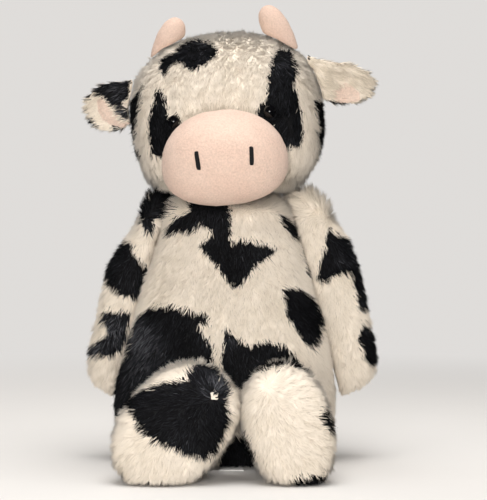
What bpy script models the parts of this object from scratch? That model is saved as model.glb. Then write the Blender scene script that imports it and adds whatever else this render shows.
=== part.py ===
"""Plush cow that sits with its legs forward. It faces -Y, +Z is up, and all lengths are metres.

Left and right are the cow's own, so its left side is at +X. Every stuffed piece is a fabric shell with its
stuffing inside, and each shell is open where it is sewn on.
"""

import math

import bmesh
import bpy
from mathutils import Euler, Matrix, Vector

# Fabrics and clearances
plush_wall = 0.003
velour_wall = 0.0016
seam_gap = 0.0003
stuffing_gap = 0.0005
swing_gap = 0.0004
floor_trim = 0.0005
cutter_reach = 0.4
round_outline = 2.0

# Torso: a pear, flat where it sits
body_height = 0.246
body_half_width = 0.1015
body_front = 0.080
body_back = 0.069
body_roundness = 2.2
body_sides = 20
# height, half width, front depth and back depth
body_shares = [
    (0.000, 0.60, 0.62, 0.62),
    (0.018, 0.79, 0.79, 0.80),
    (0.057, 0.91, 0.90, 0.90),
    (0.122, 0.98, 0.965, 0.97),
    (0.212, 1.00, 1.00, 1.00),
    (0.317, 0.98, 1.00, 1.00),
    (0.419, 0.94, 0.965, 0.96),
    (0.557, 0.85, 0.87, 0.87),
    (0.683, 0.74, 0.75, 0.78),
    (0.813, 0.66, 0.65, 0.71),
    (0.894, 0.60, 0.59, 0.65),
    (0.959, 0.52, 0.51, 0.57),
]
pellet_bag_top = 0.036

# Flanks: the flat land on each side that an arm lies against
flank_drop = 0.042
flank_height = body_height - flank_drop
flank_half_width = 0.063
flank_slope = math.radians(15.0)
flank_press_left = 0.0
flank_press_right = 0.003

# Neck: a ball of stuffing that the torso and the head both cup, with a sewn thread round it
neck_sink = 0.003
neck_height = body_height - neck_sink
neck_back = 0.006
neck_radius = 0.026
neck_sides = 24
neck_lip = 0.001
neck_rise = math.radians(7.0)
neck_fall = math.radians(18.5)
thread_radius = 0.0012
thread_latitude = math.radians(9.6)
thread_room = math.radians(31.0)
thread_sides = 6
cup_pole = math.radians(15.0)
cup_low_steps = 7
cup_high_steps = 3

# Head
head_half_width = 0.086
head_half_depth = 0.072
head_half_height = 0.074
head_roundness = 2.3
jowl_roundness = 3.1
head_sides = 22
head_rings = 11
head_rise = 0.066
head_height = neck_height + head_rise
head_forward = 0.012
head_nod = math.radians(15.0)
head_roll = math.radians(-4.5)
head_yaw = math.radians(-2.8)

# Muzzle, in the head's own frame
muzzle_half_width = 0.0536
muzzle_shift = -0.0016
muzzle_half_depth = 0.047
muzzle_half_height = 0.0405
muzzle_forward = 0.073
muzzle_drop = 0.0255
muzzle_roundness = 2.25
muzzle_sides = 20
muzzle_rings = 10
# how far the top of the muzzle is drawn in
muzzle_taper_share = 0.13

# Nostril stitches, in the head's own frame
stitch_length = 0.017
stitch_radius = 0.0016
stitch_spread = 0.0218
stitch_shift = 0.0011
stitch_lift = 0.0065
stitch_lean = math.radians(4.0)
stitch_shoulder_share = 0.7

# Eyes: a bead with a stem through the fabric and a washer behind it
eye_spread_left = 0.0394
eye_spread_right = 0.041
eye_lift_left = 0.0082
eye_lift_right = 0.0065
eye_radius = 0.0058
eye_sink_share = 0.25
eye_stem_radius = 0.0016
eye_stem_length = 0.010
eye_sides = 12
stem_sides = 8
washer_radius = 0.0068
washer_thickness = 0.002
washer_drop = 0.0017

# Horns, in the head's own frame
horn_length_left = 0.0485
horn_length_right = 0.046
horn_radius = 0.0122
horn_spread_left = 0.0575
horn_spread_right = 0.053
horn_forward = 0.004
horn_root_lift = 0.046
horn_lean_left = math.radians(21.0)
horn_lean_right = math.radians(26.0)
horn_bend = math.radians(22.0)
horn_sides = 12
# distance along the horn and radius
horn_shares = [(0.08, 0.98), (0.34, 1.02), (0.60, 1.00), (0.80, 0.86), (0.93, 0.60), (0.985, 0.30)]

# Ears: a cupped leaf of plush with a lining, sewn on along its root
ear_length_left = 0.050
ear_length_right = 0.039
ear_half_width_left = 0.0200
ear_half_width_right = 0.0215
ear_plush = 0.0042
ear_lining = 0.0018
ear_lining_gap = 0.0004
ear_cup = 0.0085
ear_seat = 0.0008
ear_widest_share = 0.38
ear_root_share = 0.84
ear_roundness = 2.2
ear_start_share = -0.26
ear_tip_share = 0.985
ear_pinch_share = 0.45
ear_pinch_end_share = 0.5
ear_rows = 8
ear_column_shares = (-1.0, -0.76, -0.38, 0.0, 0.38, 0.76, 1.0)
ear_elevation_left = math.radians(21.0)
ear_elevation_right = math.radians(15.0)
ear_azimuth = math.radians(8.0)
ear_root_lean = math.radians(24.0)
ear_droop_left = math.radians(36.0)
ear_droop_right = math.radians(27.0)

# Arms: each hangs from its shoulder along the flank
arm_length = 0.188
arm_above = 0.017
arm_depth = 0.025
arm_thickness_left = 0.048
arm_thickness_right = 0.040
arm_press = 0.0025
arm_cling_share = 0.85
arm_shoulder_share_left = 1.0
arm_shoulder_share_right = 0.74
arm_shoulder_end_share = 0.42
arm_sides = 12
arm_mouth = 0.007
arm_mouth_reach = 0.020
shoulder_rise = 0.018
shoulder_height = flank_height + shoulder_rise
# distance along the arm, thickness and depth
arm_shares = [
    (0.015, 0.52, 0.44),
    (0.07, 0.73, 0.76),
    (0.15, 0.86, 0.92),
    (0.27, 0.97, 0.97),
    (0.41, 1.02, 1.00),
    (0.55, 1.00, 1.00),
    (0.69, 0.95, 1.00),
    (0.82, 0.92, 1.04),
    (0.91, 0.83, 0.94),
    (0.965, 0.66, 0.70),
    (0.993, 0.42, 0.36),
]

# Legs: a round hip in the torso's notch, a short thigh and a large foot that stands on the floor
hip_spread = 0.046
hip_forward = 0.064
hip_height = 0.036
thigh_radius = 0.030
leg_length = 0.122
foot_half_width = 0.0415
foot_half_height = 0.0500
foot_centre_left = 0.0512
foot_centre_right = 0.0396
foot_width_share_left = 0.885
foot_width_share_right = 1.045
foot_height_share_left = 1.07
foot_height_share_right = 1.18
foot_roll_left = math.radians(14.0)
foot_roll_right = math.radians(42.0)
foot_sink_left = 0.007
foot_sink_right = 0.009
sole_lean = math.radians(9.0)
leg_sides = 16
# distance from the back of the hip, share of the way from thigh to foot, and size
leg_shares = [
    (0.035, 0.0, 0.51),
    (0.095, 0.0, 0.785),
    (0.170, 0.0, 0.945),
    (0.246, 0.0, 1.0),
    (0.400, 0.0, 1.0),
    (0.500, 0.24, 1.0),
    (0.600, 0.70, 1.0),
    (0.700, 0.95, 1.0),
    (0.800, 1.0, 1.0),
    (0.885, 1.0, 0.93),
    (0.950, 1.0, 0.74),
    (0.985, 1.0, 0.44),
]
sole_seam_share = 0.885
leg_raise = math.radians(18.0)
leg_lower = math.radians(20.0)
notch_steps = 8
notch_turns = 8
notch_reach = 0.075
notch_edge_share = 0.12
foot_pouch_share = 0.72
foot_pouch_top = 0.032

# Tail: a short cord of plush with a tuft, resting on the back
tail_height = 0.092
tail_radius = 0.006
tail_length = 0.050
tail_lean = math.radians(7.0)
tail_sides = 10
tail_cap_steps = 4
tuft_radius = 0.0095
tuft_length = 0.030
# distance along the tuft and radius
tuft_shares = [(0.0, 0.72), (0.20, 0.92), (0.45, 1.0), (0.70, 0.84), (0.90, 0.46)]

# Blank ribbon tag in the seam under the front of the seat
tag_width = 0.020
tag_length = 0.060
tag_thickness = 0.0008
tag_centre = 0.005
tag_front = 0.076
tag_height = 0.0004

# colour and roughness of each kind of surface
surfaces = {
    "plush": ((0.84, 0.79, 0.69, 1.0), 0.95),
    "velour": ((0.78, 0.61, 0.53, 1.0), 0.9),
    "bead": ((0.012, 0.012, 0.014, 1.0), 0.08),
    "black_thread": ((0.018, 0.018, 0.020, 1.0), 0.7),
    "cream_thread": ((0.80, 0.76, 0.68, 1.0), 0.8),
    "stuffing": ((0.88, 0.88, 0.86, 1.0), 1.0),
    "pellets": ((0.70, 0.71, 0.72, 1.0), 0.9),
    "washer": ((0.80, 0.80, 0.78, 1.0), 0.4),
    "ribbon": ((0.86, 0.86, 0.85, 1.0), 0.5),
}

side_sign = {"left": 1.0, "right": -1.0}


def clear_scene():
    """Remove whatever the scene holds."""
    for obj in list(bpy.data.objects):
        bpy.data.objects.remove(obj, do_unlink=True)


def finish(obj, surface):
    """Give a piece its own plain surface of one kind."""
    colour, roughness = surfaces[surface]
    made = bpy.data.materials.new(obj.name + "_surface")
    made.use_nodes = True
    shader = made.node_tree.nodes["Principled BSDF"]
    shader.inputs["Base Color"].default_value = colour
    shader.inputs["Roughness"].default_value = roughness
    made.diffuse_color = colour
    obj.data.materials.clear()
    obj.data.materials.append(made)
    return obj


def empty(name, place, turn=(0.0, 0.0, 0.0), parent=None):
    """A place that pieces hang on."""
    made = bpy.data.objects.new(name, None)
    bpy.context.collection.objects.link(made)
    made.parent = parent
    made.location = place
    made.rotation_euler = turn
    return made


def mesh_object(name, bm, parent=None):
    """Turn a bmesh into a smooth object."""
    bmesh.ops.recalc_face_normals(bm, faces=bm.faces)
    mesh = bpy.data.meshes.new(name)
    bm.to_mesh(mesh)
    bm.free()
    mesh.shade_smooth()
    made = bpy.data.objects.new(name, mesh)
    bpy.context.collection.objects.link(made)
    made.parent = parent
    return made


def hide(obj):
    """Mark an object as a cutter."""
    obj.hide_render = True
    obj.display_type = "WIRE"
    return obj


def boolean(obj, other, operation):
    """Cut, join or keep with another object."""
    step = obj.modifiers.new(other.name, "BOOLEAN")
    step.operation = operation
    step.solver = "EXACT"
    step.object = other
    return obj


def cut(obj, *cutters):
    """Take each cutter away from the object."""
    for cutter in cutters:
        boolean(obj, hide(cutter), "DIFFERENCE")
    return obj


def power(value, exponent):
    """A power that keeps its sign."""
    return math.copysign(abs(value) ** exponent, value)


def oval(half_width, front, back, roundness, sides):
    """The points of a rounded outline, with unlike depths in front and behind."""
    points = []
    for step in range(sides):
        angle = 2.0 * math.pi * step / sides
        across = half_width * power(math.cos(angle), 2.0 / roundness)
        along = power(math.sin(angle), 2.0 / roundness)
        points.append(Vector((across, along * (back if along > 0.0 else front), 0.0)))
    return points


def loft(rings, first, last):
    """A closed skin over the rings, ending in a point at each end."""
    bm = bmesh.new()
    loops = [[bm.verts.new(point) for point in ring] for ring in rings]
    start = bm.verts.new(first)
    end = bm.verts.new(last)
    sides = len(loops[0])
    for low, high in zip(loops, loops[1:]):
        for step in range(sides):
            after = (step + 1) % sides
            bm.faces.new((low[step], low[after], high[after]))
            bm.faces.new((low[step], high[after], high[step]))
    for step in range(sides):
        after = (step + 1) % sides
        bm.faces.new((start, loops[0][after], loops[0][step]))
        bm.faces.new((end, loops[-1][step], loops[-1][after]))
    bmesh.ops.recalc_face_normals(bm, faces=bm.faces)
    return bm


def inset(bm, distance):
    """Move the whole surface inwards by a distance, or outwards if it is negative."""
    bm.normal_update()
    moves = [(vert, vert.normal * distance * vert.calc_shell_factor()) for vert in bm.verts]
    for vert, move in moves:
        vert.co -= move
    return bm


def ball(name, centre, radius, sides, parent=None):
    """A faceted ball."""
    bm = bmesh.new()
    bmesh.ops.create_uvsphere(bm, u_segments=sides, v_segments=sides // 2, radius=radius)
    bmesh.ops.translate(bm, verts=bm.verts, vec=centre)
    return mesh_object(name, bm, parent)


def rod(name, centre, direction, radius, length, sides, parent=None):
    """A round bar whose middle is at centre."""
    bm = bmesh.new()
    bmesh.ops.create_cone(
        bm, cap_ends=True, segments=sides, radius1=radius, radius2=radius, depth=length
    )
    turn = Vector((0.0, 0.0, 1.0)).rotation_difference(direction).to_matrix().to_4x4()
    bmesh.ops.transform(bm, matrix=Matrix.Translation(centre) @ turn, verts=bm.verts)
    return mesh_object(name, bm, parent)


def half_space(name, point, outward, parent=None):
    """A large block whose face passes through the point and that fills the outward side."""
    bm = bmesh.new()
    bmesh.ops.create_cube(bm, size=cutter_reach)
    turn = Vector((0.0, 0.0, 1.0)).rotation_difference(outward).to_matrix().to_4x4()
    place = Vector(point) + Vector(outward).normalized() * cutter_reach / 2.0
    bmesh.ops.transform(bm, matrix=Matrix.Translation(place) @ turn, verts=bm.verts)
    return mesh_object(name, bm, parent)


def turned(name, profile, sides, place, parent=None):
    """A closed turned shape from pairs of radius and height, low end first."""
    rings = []
    for radius, height in profile[1:-1]:
        centre = place + Vector((0.0, 0.0, height))
        rings.append([point + centre for point in oval(radius, radius, radius, round_outline, sides)])
    first = place + Vector((0.0, 0.0, profile[0][1]))
    last = place + Vector((0.0, 0.0, profile[-1][1]))
    return mesh_object(name, loft(rings, first, last), parent)


def facet_growth(sides):
    """How much a faceted ring grows so that its flats clear the true circle."""
    return 1.0 / math.cos(math.pi / sides)


def arc(radius, start, end, steps):
    """Pairs of radius and height along an arc between two latitudes."""
    points = []
    for step in range(steps + 1):
        latitude = start + (end - start) * step / steps
        points.append((radius * math.cos(latitude), radius * math.sin(latitude)))
    return points


def flank_frame(side):
    """A point on a flank's land, its outward normal and the way down it."""
    sign = side_sign[side]
    press = flank_press_left if side == "left" else flank_press_right
    point = Vector((sign * (flank_half_width - press), 0.0, flank_height))
    normal = Vector((sign * math.cos(flank_slope), 0.0, math.sin(flank_slope)))
    down = Vector((sign * math.sin(flank_slope), 0.0, -math.cos(flank_slope)))
    return point, normal, down


def shoulder_place(side):
    """Where an arm's joint crosses the flank's land."""
    point, normal, down = flank_frame(side)
    return point + down * (flank_height - shoulder_height) / math.cos(flank_slope)


def hip_place(side):
    """The centre of a hip."""
    return Vector((side_sign[side] * hip_spread, -hip_forward, hip_height))


def neck_place():
    """The centre that the head turns, tilts and nods about."""
    return Vector((0.0, neck_back, neck_height))


def torso_rings():
    """The torso's level outlines from the seat to the neck."""
    rings = []
    for height, width, front, back in body_shares:
        ring = oval(body_half_width * width, body_front * front, body_back * back, body_roundness, body_sides)
        rise = Vector((0.0, 0.0, body_height * height - floor_trim))
        rings.append([point + rise for point in ring])
    return rings


def thigh_notch(name, side, wall):
    """The room that a thigh sweeps in the torso between its raised and lowered ends."""
    sweep = math.pi - leg_raise - leg_lower
    growth = facet_growth(2 * notch_steps) / math.cos(sweep / notch_turns / 2.0)
    radius = (thigh_radius + swing_gap + wall) * growth
    centre = hip_place(side)
    bm = bmesh.new()
    loops = []
    for step in range(notch_steps + 1):
        angle = math.pi * step / notch_steps - math.pi / 2.0
        across = radius * math.sin(angle)
        height = radius * max(math.cos(angle), notch_edge_share)
        outline = []
        far = Vector((0.0, -math.cos(leg_raise), math.sin(leg_raise))) * notch_reach
        top = Vector((0.0, math.sin(leg_raise), math.cos(leg_raise))) * height
        outline.append(top + far)
        for turn in range(notch_turns + 1):
            tilt = leg_raise + sweep * turn / notch_turns
            outline.append(Vector((0.0, math.sin(tilt), math.cos(tilt))) * height)
        low = Vector((0.0, -math.cos(leg_lower), -math.sin(leg_lower))) * notch_reach
        outline.append(outline[-1] + low)
        loops.append([bm.verts.new(centre + point + Vector((across, 0.0, 0.0))) for point in outline])
    sides = len(loops[0])
    for here, there in zip(loops, loops[1:]):
        for step in range(sides):
            after = (step + 1) % sides
            bm.faces.new((here[step], here[after], there[after], there[step]))
    bm.faces.new(loops[0])
    bm.faces.new(loops[-1])
    return mesh_object(name, bm)


def torso_form(name, wall):
    """The torso's whole shape, its surface moved inwards by a wall."""
    rings = torso_rings()
    low = Vector((0.0, 0.0, -floor_trim))
    high = Vector((0.0, 0.0, body_height - floor_trim))
    form = mesh_object(name, inset(loft(rings, low, high), wall))
    cut(form, half_space(name + "_seat", (0.0, 0.0, wall), (0.0, 0.0, -1.0)))
    for side in side_sign:
        point, normal, down = flank_frame(side)
        cut(form, half_space(name + "_flank_" + side, point - normal * wall, normal))
        cut(form, thigh_notch(name + "_notch_" + side, side, wall))
    fall = math.tan(neck_fall)
    drop = wall / math.cos(neck_fall)
    rim = body_half_width
    profile = [(0.0, -drop), (rim, -drop - rim * fall), (rim, rim), (0.0, rim)]
    cut(form, turned(name + "_shoulders", profile, neck_sides, neck_place()))
    return form


def neck_cup(name, parent=None):
    """The room for the neck's ball, and above it for the thread that the head rides over."""
    growth = facet_growth(neck_sides) ** 2
    inner = (neck_radius + swing_gap) * growth
    outer = (neck_radius + 2.0 * swing_gap + 2.0 * thread_radius) * growth
    quarter = math.pi / 2.0
    profile = [(0.0, -outer)] + arc(outer, cup_pole - quarter, thread_room, cup_low_steps)
    profile += arc(inner, thread_room, quarter - cup_pole, cup_high_steps) + [(0.0, inner)]
    return turned(name, profile, neck_sides, neck_place(), parent)


def torso_cup(name):
    """The room for the neck's ball in the torso."""
    growth = facet_growth(neck_sides) ** 2
    return ball(name, neck_place(), (neck_radius + swing_gap) * growth, neck_sides)


def make_torso():
    """The torso's plush, its stuffing and the bag of pellets that steadies it."""
    skin = torso_form("body_skin", 0.0)
    cut(skin, torso_form("body_hollow", plush_wall), torso_cup("body_skin_cup"))
    finish(skin, "plush")
    filling = torso_form("body_filling", plush_wall + stuffing_gap)
    cut(filling, torso_cup("body_filling_cup"))
    cut(filling, half_space("body_filling_floor", (0.0, 0.0, pellet_bag_top), (0.0, 0.0, -1.0)))
    finish(filling, "stuffing")
    bag = torso_form("pellet_bag", plush_wall + stuffing_gap)
    lid = pellet_bag_top - stuffing_gap
    cut(bag, half_space("pellet_bag_lid", (0.0, 0.0, lid), (0.0, 0.0, 1.0)))
    finish(bag, "pellets")


def make_neck():
    """The ball of stuffing in the neck and the thread that closes the seam round it."""
    pivot = empty("neck_pivot", neck_place())
    plug = ball("neck_plug", Vector(), neck_radius, neck_sides, pivot)
    finish(plug, "stuffing")
    reach = neck_radius + swing_gap + thread_radius
    loop = reach * math.cos(thread_latitude)
    rise = reach * math.sin(thread_latitude)
    bm = bmesh.new()
    section = bmesh.ops.create_circle(bm, segments=thread_sides, radius=thread_radius)
    turn = Matrix.Translation((loop, 0.0, rise)) @ Matrix.Rotation(math.pi / 2.0, 4, "X")
    bmesh.ops.transform(bm, matrix=turn, verts=section["verts"])
    bmesh.ops.spin(
        bm,
        geom=bm.verts[:] + bm.edges[:],
        cent=(0.0, 0.0, 0.0),
        axis=(0.0, 0.0, 1.0),
        angle=2.0 * math.pi,
        steps=neck_sides,
        use_merge=True,
    )
    seam = mesh_object("neck_seam", bm, pivot)
    finish(seam, "cream_thread")


def head_matrix():
    """The head's place and set in the world."""
    turn = Euler((head_nod, head_roll, head_yaw)).to_matrix().to_4x4()
    return Matrix.Translation((0.0, -head_forward, head_height)) @ turn


def rounded_rings(size, roundness, sides, count, taper=0.0, low_roundness=None):
    """The level outlines of a rounded body about the origin, drawn in towards its top."""
    half_width, half_depth, half_height = size
    rings = []
    for step in range(1, count):
        latitude = math.pi * step / count - math.pi / 2.0
        bend = low_roundness if low_roundness and latitude < 0.0 else roundness
        reach = power(math.cos(latitude), 2.0 / bend)
        rise = power(math.sin(latitude), 2.0 / bend)
        width = half_width * reach * (1.0 - taper * rise)
        ring = oval(width, half_depth * reach, half_depth * reach, roundness, sides)
        rings.append([point + Vector((0.0, 0.0, half_height * rise)) for point in ring])
    return rings


def head_form(name, wall, parent):
    """The head's whole shape without its neck, its surface moved inwards by a wall."""
    size = (head_half_width, head_half_depth, head_half_height)
    rings = rounded_rings(size, head_roundness, head_sides, head_rings, low_roundness=jowl_roundness)
    pole = Vector((0.0, 0.0, head_half_height))
    return mesh_object(name, inset(loft(rings, -pole, pole), wall), parent)


def head_block(name, wall, parent):
    """The head's shape, cut flat above the neck."""
    form = head_form(name, wall, parent)
    lip = neck_lip + wall
    slope = math.tan(neck_rise)
    rim = 2.0 * head_half_width
    top = wall / math.cos(neck_rise) + (rim - neck_radius) * slope + neck_lip
    profile = [(0.0, -rim), (rim, -rim), (rim, top), (neck_radius, lip), (0.0, lip)]
    return cut(form, turned(name + "_chin", profile, neck_sides, neck_place()))


def head_normal(point):
    """The outward direction of the head's surface at a point on it."""
    sizes = (head_half_width, head_half_depth, head_half_height)
    lean = [power(p / s, head_roundness - 1.0) / s for p, s in zip(point, sizes)]
    return Vector(lean).normalized()


def head_front(across, up):
    """The point on the front of the head at a given place across and up."""
    left = 1.0 - abs(across / head_half_width) ** head_roundness
    left -= abs(up / head_half_height) ** head_roundness
    return Vector((across, -head_half_depth * left ** (1.0 / head_roundness), up))


def muzzle_form(name, wall, parent):
    """The muzzle's whole shape, which runs on into the head."""
    size = (muzzle_half_width, muzzle_half_depth, muzzle_half_height)
    rings = rounded_rings(size, muzzle_roundness, muzzle_sides, muzzle_rings, muzzle_taper_share)
    centre = Vector((muzzle_shift, -muzzle_forward, -muzzle_drop))
    rings = [[point + centre for point in ring] for ring in rings]
    pole = Vector((0.0, 0.0, muzzle_half_height))
    return mesh_object(name, inset(loft(rings, centre - pole, centre + pole), wall), parent)


def eye_place(side):
    """The point on the head that an eye's stem goes through, and the way it faces."""
    spread = eye_spread_left if side == "left" else eye_spread_right
    lift = eye_lift_left if side == "left" else eye_lift_right
    point = head_front(side_sign[side] * spread, lift)
    return point, head_normal(point)


def make_eye(side, parent):
    """A glossy bead with its stem, and the washer that holds it behind the fabric."""
    point, normal = eye_place(side)
    name = "eye_" + side
    bead = ball(name, point + normal * eye_radius * eye_sink_share, eye_radius, eye_sides, parent)
    cut(bead, head_form(name + "_bed", -seam_gap, parent))
    cut(bead, muzzle_form(name + "_muzzle", -seam_gap, parent))
    middle = point - normal * (eye_stem_length / 2.0 - eye_radius / 2.0)
    stem = rod(name + "_stem", middle, normal, eye_stem_radius, eye_stem_length, stem_sides, parent)
    boolean(bead, hide(stem), "UNION")
    finish(bead, "bead")
    behind = point - normal * (plush_wall + washer_drop + washer_thickness / 2.0)
    washer = rod("eye_washer_" + side, behind, normal, washer_radius, washer_thickness, eye_sides, parent)
    hole = eye_stem_radius + seam_gap
    cut(washer, rod("eye_washer_hole_" + side, behind, normal, hole, eye_radius, stem_sides, parent))
    finish(washer, "washer")


def make_head_shell(parent):
    """The head's plush and its stuffing, with the holes for the eyes."""
    skin = head_block("head_skin", 0.0, parent)
    cut(skin, head_block("head_hollow", plush_wall, parent))
    filling = head_block("head_filling", plush_wall + stuffing_gap, parent)
    for side in side_sign:
        point, normal = eye_place(side)
        hole = eye_stem_radius + seam_gap
        cut(skin, rod("eye_hole_" + side, point, normal, hole, eye_stem_length, stem_sides, parent))
        pocket = washer_radius + stuffing_gap
        depth = 2.0 * eye_stem_length
        cut(filling, rod("eye_pocket_" + side, point, normal, pocket, depth, eye_sides, parent))
    cut(skin, neck_cup("head_skin_cup"))
    cut(filling, neck_cup("head_filling_cup"))
    finish(skin, "plush")
    finish(filling, "stuffing")


def make_muzzle(parent):
    """The muzzle's velour, its stuffing and the two nostril stitches."""
    skin = muzzle_form("muzzle_skin", 0.0, parent)
    cut(skin, muzzle_form("muzzle_hollow", velour_wall, parent))
    cut(skin, head_form("muzzle_skin_bed", -seam_gap, parent))
    finish(skin, "velour")
    filling = muzzle_form("muzzle_filling", velour_wall + stuffing_gap, parent)
    cut(filling, head_form("muzzle_filling_bed", -seam_gap, parent))
    finish(filling, "stuffing")
    for side, sign in side_sign.items():
        name = "nostril_stitch_" + side
        across = sign * stitch_spread + stitch_shift
        left = 1.0 - abs((across - muzzle_shift) / muzzle_half_width) ** muzzle_roundness
        reach = muzzle_forward + muzzle_half_depth * left ** (1.0 / muzzle_roundness)
        centre = Vector((across, -reach, stitch_lift - muzzle_drop))
        lean = Vector((sign * math.sin(stitch_lean), 0.0, math.cos(stitch_lean)))
        half = stitch_length / 2.0 - stitch_radius
        shoulder = stitch_radius * stitch_shoulder_share
        profile = [(0.0, -half - stitch_radius), (shoulder, -half - shoulder), (stitch_radius, -half)]
        profile += [(stitch_radius, half), (shoulder, half + shoulder), (0.0, half + stitch_radius)]
        stitch = turned(name, profile, stem_sides, Vector(), parent)
        turn = Vector((0.0, 0.0, 1.0)).rotation_difference(lean).to_matrix().to_4x4()
        stitch.data.transform(Matrix.Translation(centre) @ turn)
        cut(stitch, muzzle_form(name + "_bed", -seam_gap, parent))
        finish(stitch, "black_thread")


def horn_form(name, side, wall, parent):
    """A horn, curving in towards its tip from a root inside the head."""
    sign = side_sign[side]
    left = side == "left"
    horn_length = horn_length_left if left else horn_length_right
    horn_spread = horn_spread_left if left else horn_spread_right
    horn_lean = horn_lean_left if left else horn_lean_right
    place = Vector((sign * horn_spread, -horn_forward, horn_root_lift))
    rings = []
    last = Vector()
    steps = [0.0] + [share for share, size in horn_shares] + [1.0]
    path = []
    for before, share in zip([0.0] + steps, steps):
        lean = horn_lean - horn_bend / 2.0 + horn_bend * (before + share) / 2.0
        step = Vector((-sign * math.sin(lean), 0.0, math.cos(lean)))
        last = last + step * horn_length * (share - before)
        path.append((last.copy(), lean))
    for (centre, lean), (share, size) in zip(path[1:-1], horn_shares):
        radius = horn_radius * size
        turn = Matrix.Rotation(-sign * lean, 3, "Y")
        ring = oval(radius, radius, radius, round_outline, horn_sides)
        rings.append([place + centre + turn @ point for point in ring])
    return mesh_object(name, inset(loft(rings, place + path[0][0], place + path[-1][0]), wall), parent)


def make_horn(side, parent):
    """A horn's velour and its stuffing, sewn on the head."""
    skin = horn_form("horn_skin_" + side, side, 0.0, parent)
    finish(skin, "velour")
    cut(skin, horn_form("horn_hollow_" + side, side, velour_wall, parent))
    cut(skin, head_form("horn_skin_bed_" + side, -seam_gap, parent))
    filling = horn_form("horn_filling_" + side, side, velour_wall + stuffing_gap, parent)
    cut(filling, head_form("horn_filling_bed_" + side, -seam_gap, parent))
    finish(filling, "stuffing")


def ear_matrix(side):
    """The ear's hinge on the head: X runs straight out, Y to the back and Z along the root's seam."""
    sign = side_sign[side]
    sizes = (head_half_width, head_half_depth, head_half_height)
    elevation = ear_elevation_left if side == "left" else ear_elevation_right
    aim = (
        sign * math.cos(elevation) * math.cos(ear_azimuth),
        -math.cos(elevation) * math.sin(ear_azimuth),
        math.sin(elevation),
    )
    reach = sum(abs(part) ** head_roundness for part in aim) ** (1.0 / head_roundness)
    point = Vector([size * part / reach for size, part in zip(sizes, aim)])
    out = head_normal(point)
    upward = Vector((-sign * math.sin(ear_root_lean), 0.0, math.cos(ear_root_lean)))
    upward = (upward - out * upward.dot(out)).normalized()
    back = upward.cross(out) * sign
    root = out.cross(back)
    matrix = Matrix((out, back, root)).transposed().to_4x4()
    matrix.translation = point + out * ear_seat
    return matrix


def ear_width_share(along):
    """The share of the ear's full width that it has at a share of its length."""
    if along < ear_widest_share:
        fall = (ear_widest_share - along) / ear_widest_share
        return 1.0 - (1.0 - ear_root_share) * fall**2
    out = (along - ear_widest_share) / (1.0 - ear_widest_share)
    return (1.0 - out**ear_roundness) ** (1.0 / ear_roundness)


def ear_depth_at(along, across_share):
    """How far back the cupped leaf lies at a place along and across it."""
    rise = max(0.0, min(1.0, along / ear_widest_share))
    rise = rise * rise * (3.0 - 2.0 * rise)
    return ear_cup * rise * (1.0 - across_share**2)


def ear_plate(name, side, near, thick, trim, pivot, head):
    """A cupped leaf that droops from its root, trimmed by rows at each end and columns at each side."""
    left = side == "left"
    droop = ear_droop_left if left else ear_droop_right
    ear_length = ear_length_left if left else ear_length_right
    full = ear_half_width_left if left else ear_half_width_right
    turn = Matrix.Rotation(side_sign[side] * droop, 3, "Y")
    bm = bmesh.new()
    loops = []
    for step in range(trim, ear_rows + 1 - trim):
        way = (1.0 - math.cos(math.pi * step / ear_rows)) / 2.0
        along = ear_start_share + (ear_tip_share - ear_start_share) * way
        pinch = min(1.0, ear_pinch_share + (1.0 - ear_pinch_share) * way / ear_pinch_end_share)
        wide = ear_width_share(max(along, 0.0))
        front = []
        back = []
        for share in ear_column_shares[trim:len(ear_column_shares) - trim]:
            across = full * wide * share
            depth = ear_depth_at(along, wide * share)
            front.append(turn @ Vector((ear_length * along, depth + near * pinch, across)))
            back.append(turn @ Vector((ear_length * along, depth + (near + thick) * pinch, across)))
        loops.append([bm.verts.new(point) for point in front + back[::-1]])
    sides = len(loops[0])
    for here, there in zip(loops, loops[1:]):
        for step in range(sides):
            after = (step + 1) % sides
            bm.faces.new((here[step], here[after], there[after], there[step]))
    bm.faces.new(loops[0])
    bm.faces.new(loops[-1])
    bmesh.ops.triangulate(bm, faces=bm.faces)
    plate = mesh_object(name, bm, pivot)
    return cut(plate, head_form(name + "_bed", -ear_seat, head))


def make_ear(side, head):
    """An ear's plush back and its lining, on a hinge along its root."""
    pivot = empty("ear_pivot_" + side, (0.0, 0.0, 0.0), parent=head)
    pivot.matrix_basis = ear_matrix(side)
    near = -(ear_plush + ear_lining_gap + ear_lining) / 2.0
    lining = ear_plate("ear_lining_" + side, side, near, ear_lining, 1, pivot, head)
    finish(lining, "velour")
    near += ear_lining + ear_lining_gap
    back = ear_plate("ear_back_" + side, side, near, ear_plush, 0, pivot, head)
    finish(back, "plush")


def arm_form(name, side, wall, parent):
    """An arm's whole shape on its flank, X outwards and Z up it, moved inwards by a wall."""
    thickness = arm_thickness_left if side == "left" else arm_thickness_right
    slim = arm_shoulder_share_left if side == "left" else arm_shoulder_share_right
    rings = []
    middles = []
    for along, wide, deep in arm_shares:
        way = min(1.0, along / arm_shoulder_end_share)
        half = thickness * wide / 2.0 * (slim + (1.0 - slim) * way * way)
        ring = oval(half, arm_depth * deep, arm_depth * deep, body_roundness, arm_sides)
        centre = Vector((thickness / 2.0 - arm_press, 0.0, arm_above - arm_length * along))
        centre.x -= (thickness / 2.0 - half) * arm_cling_share
        rings.append([point + centre for point in ring])
        middles.append(centre.x)
    first = Vector((middles[0], 0.0, arm_above))
    last = Vector((middles[-1], 0.0, arm_above - arm_length))
    form = mesh_object(name, inset(loft(rings, first, last), wall), parent)
    plane = Vector((seam_gap + wall, 0.0, 0.0))
    return cut(form, half_space(name + "_land", plane, (-1.0, 0.0, 0.0), parent))


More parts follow.
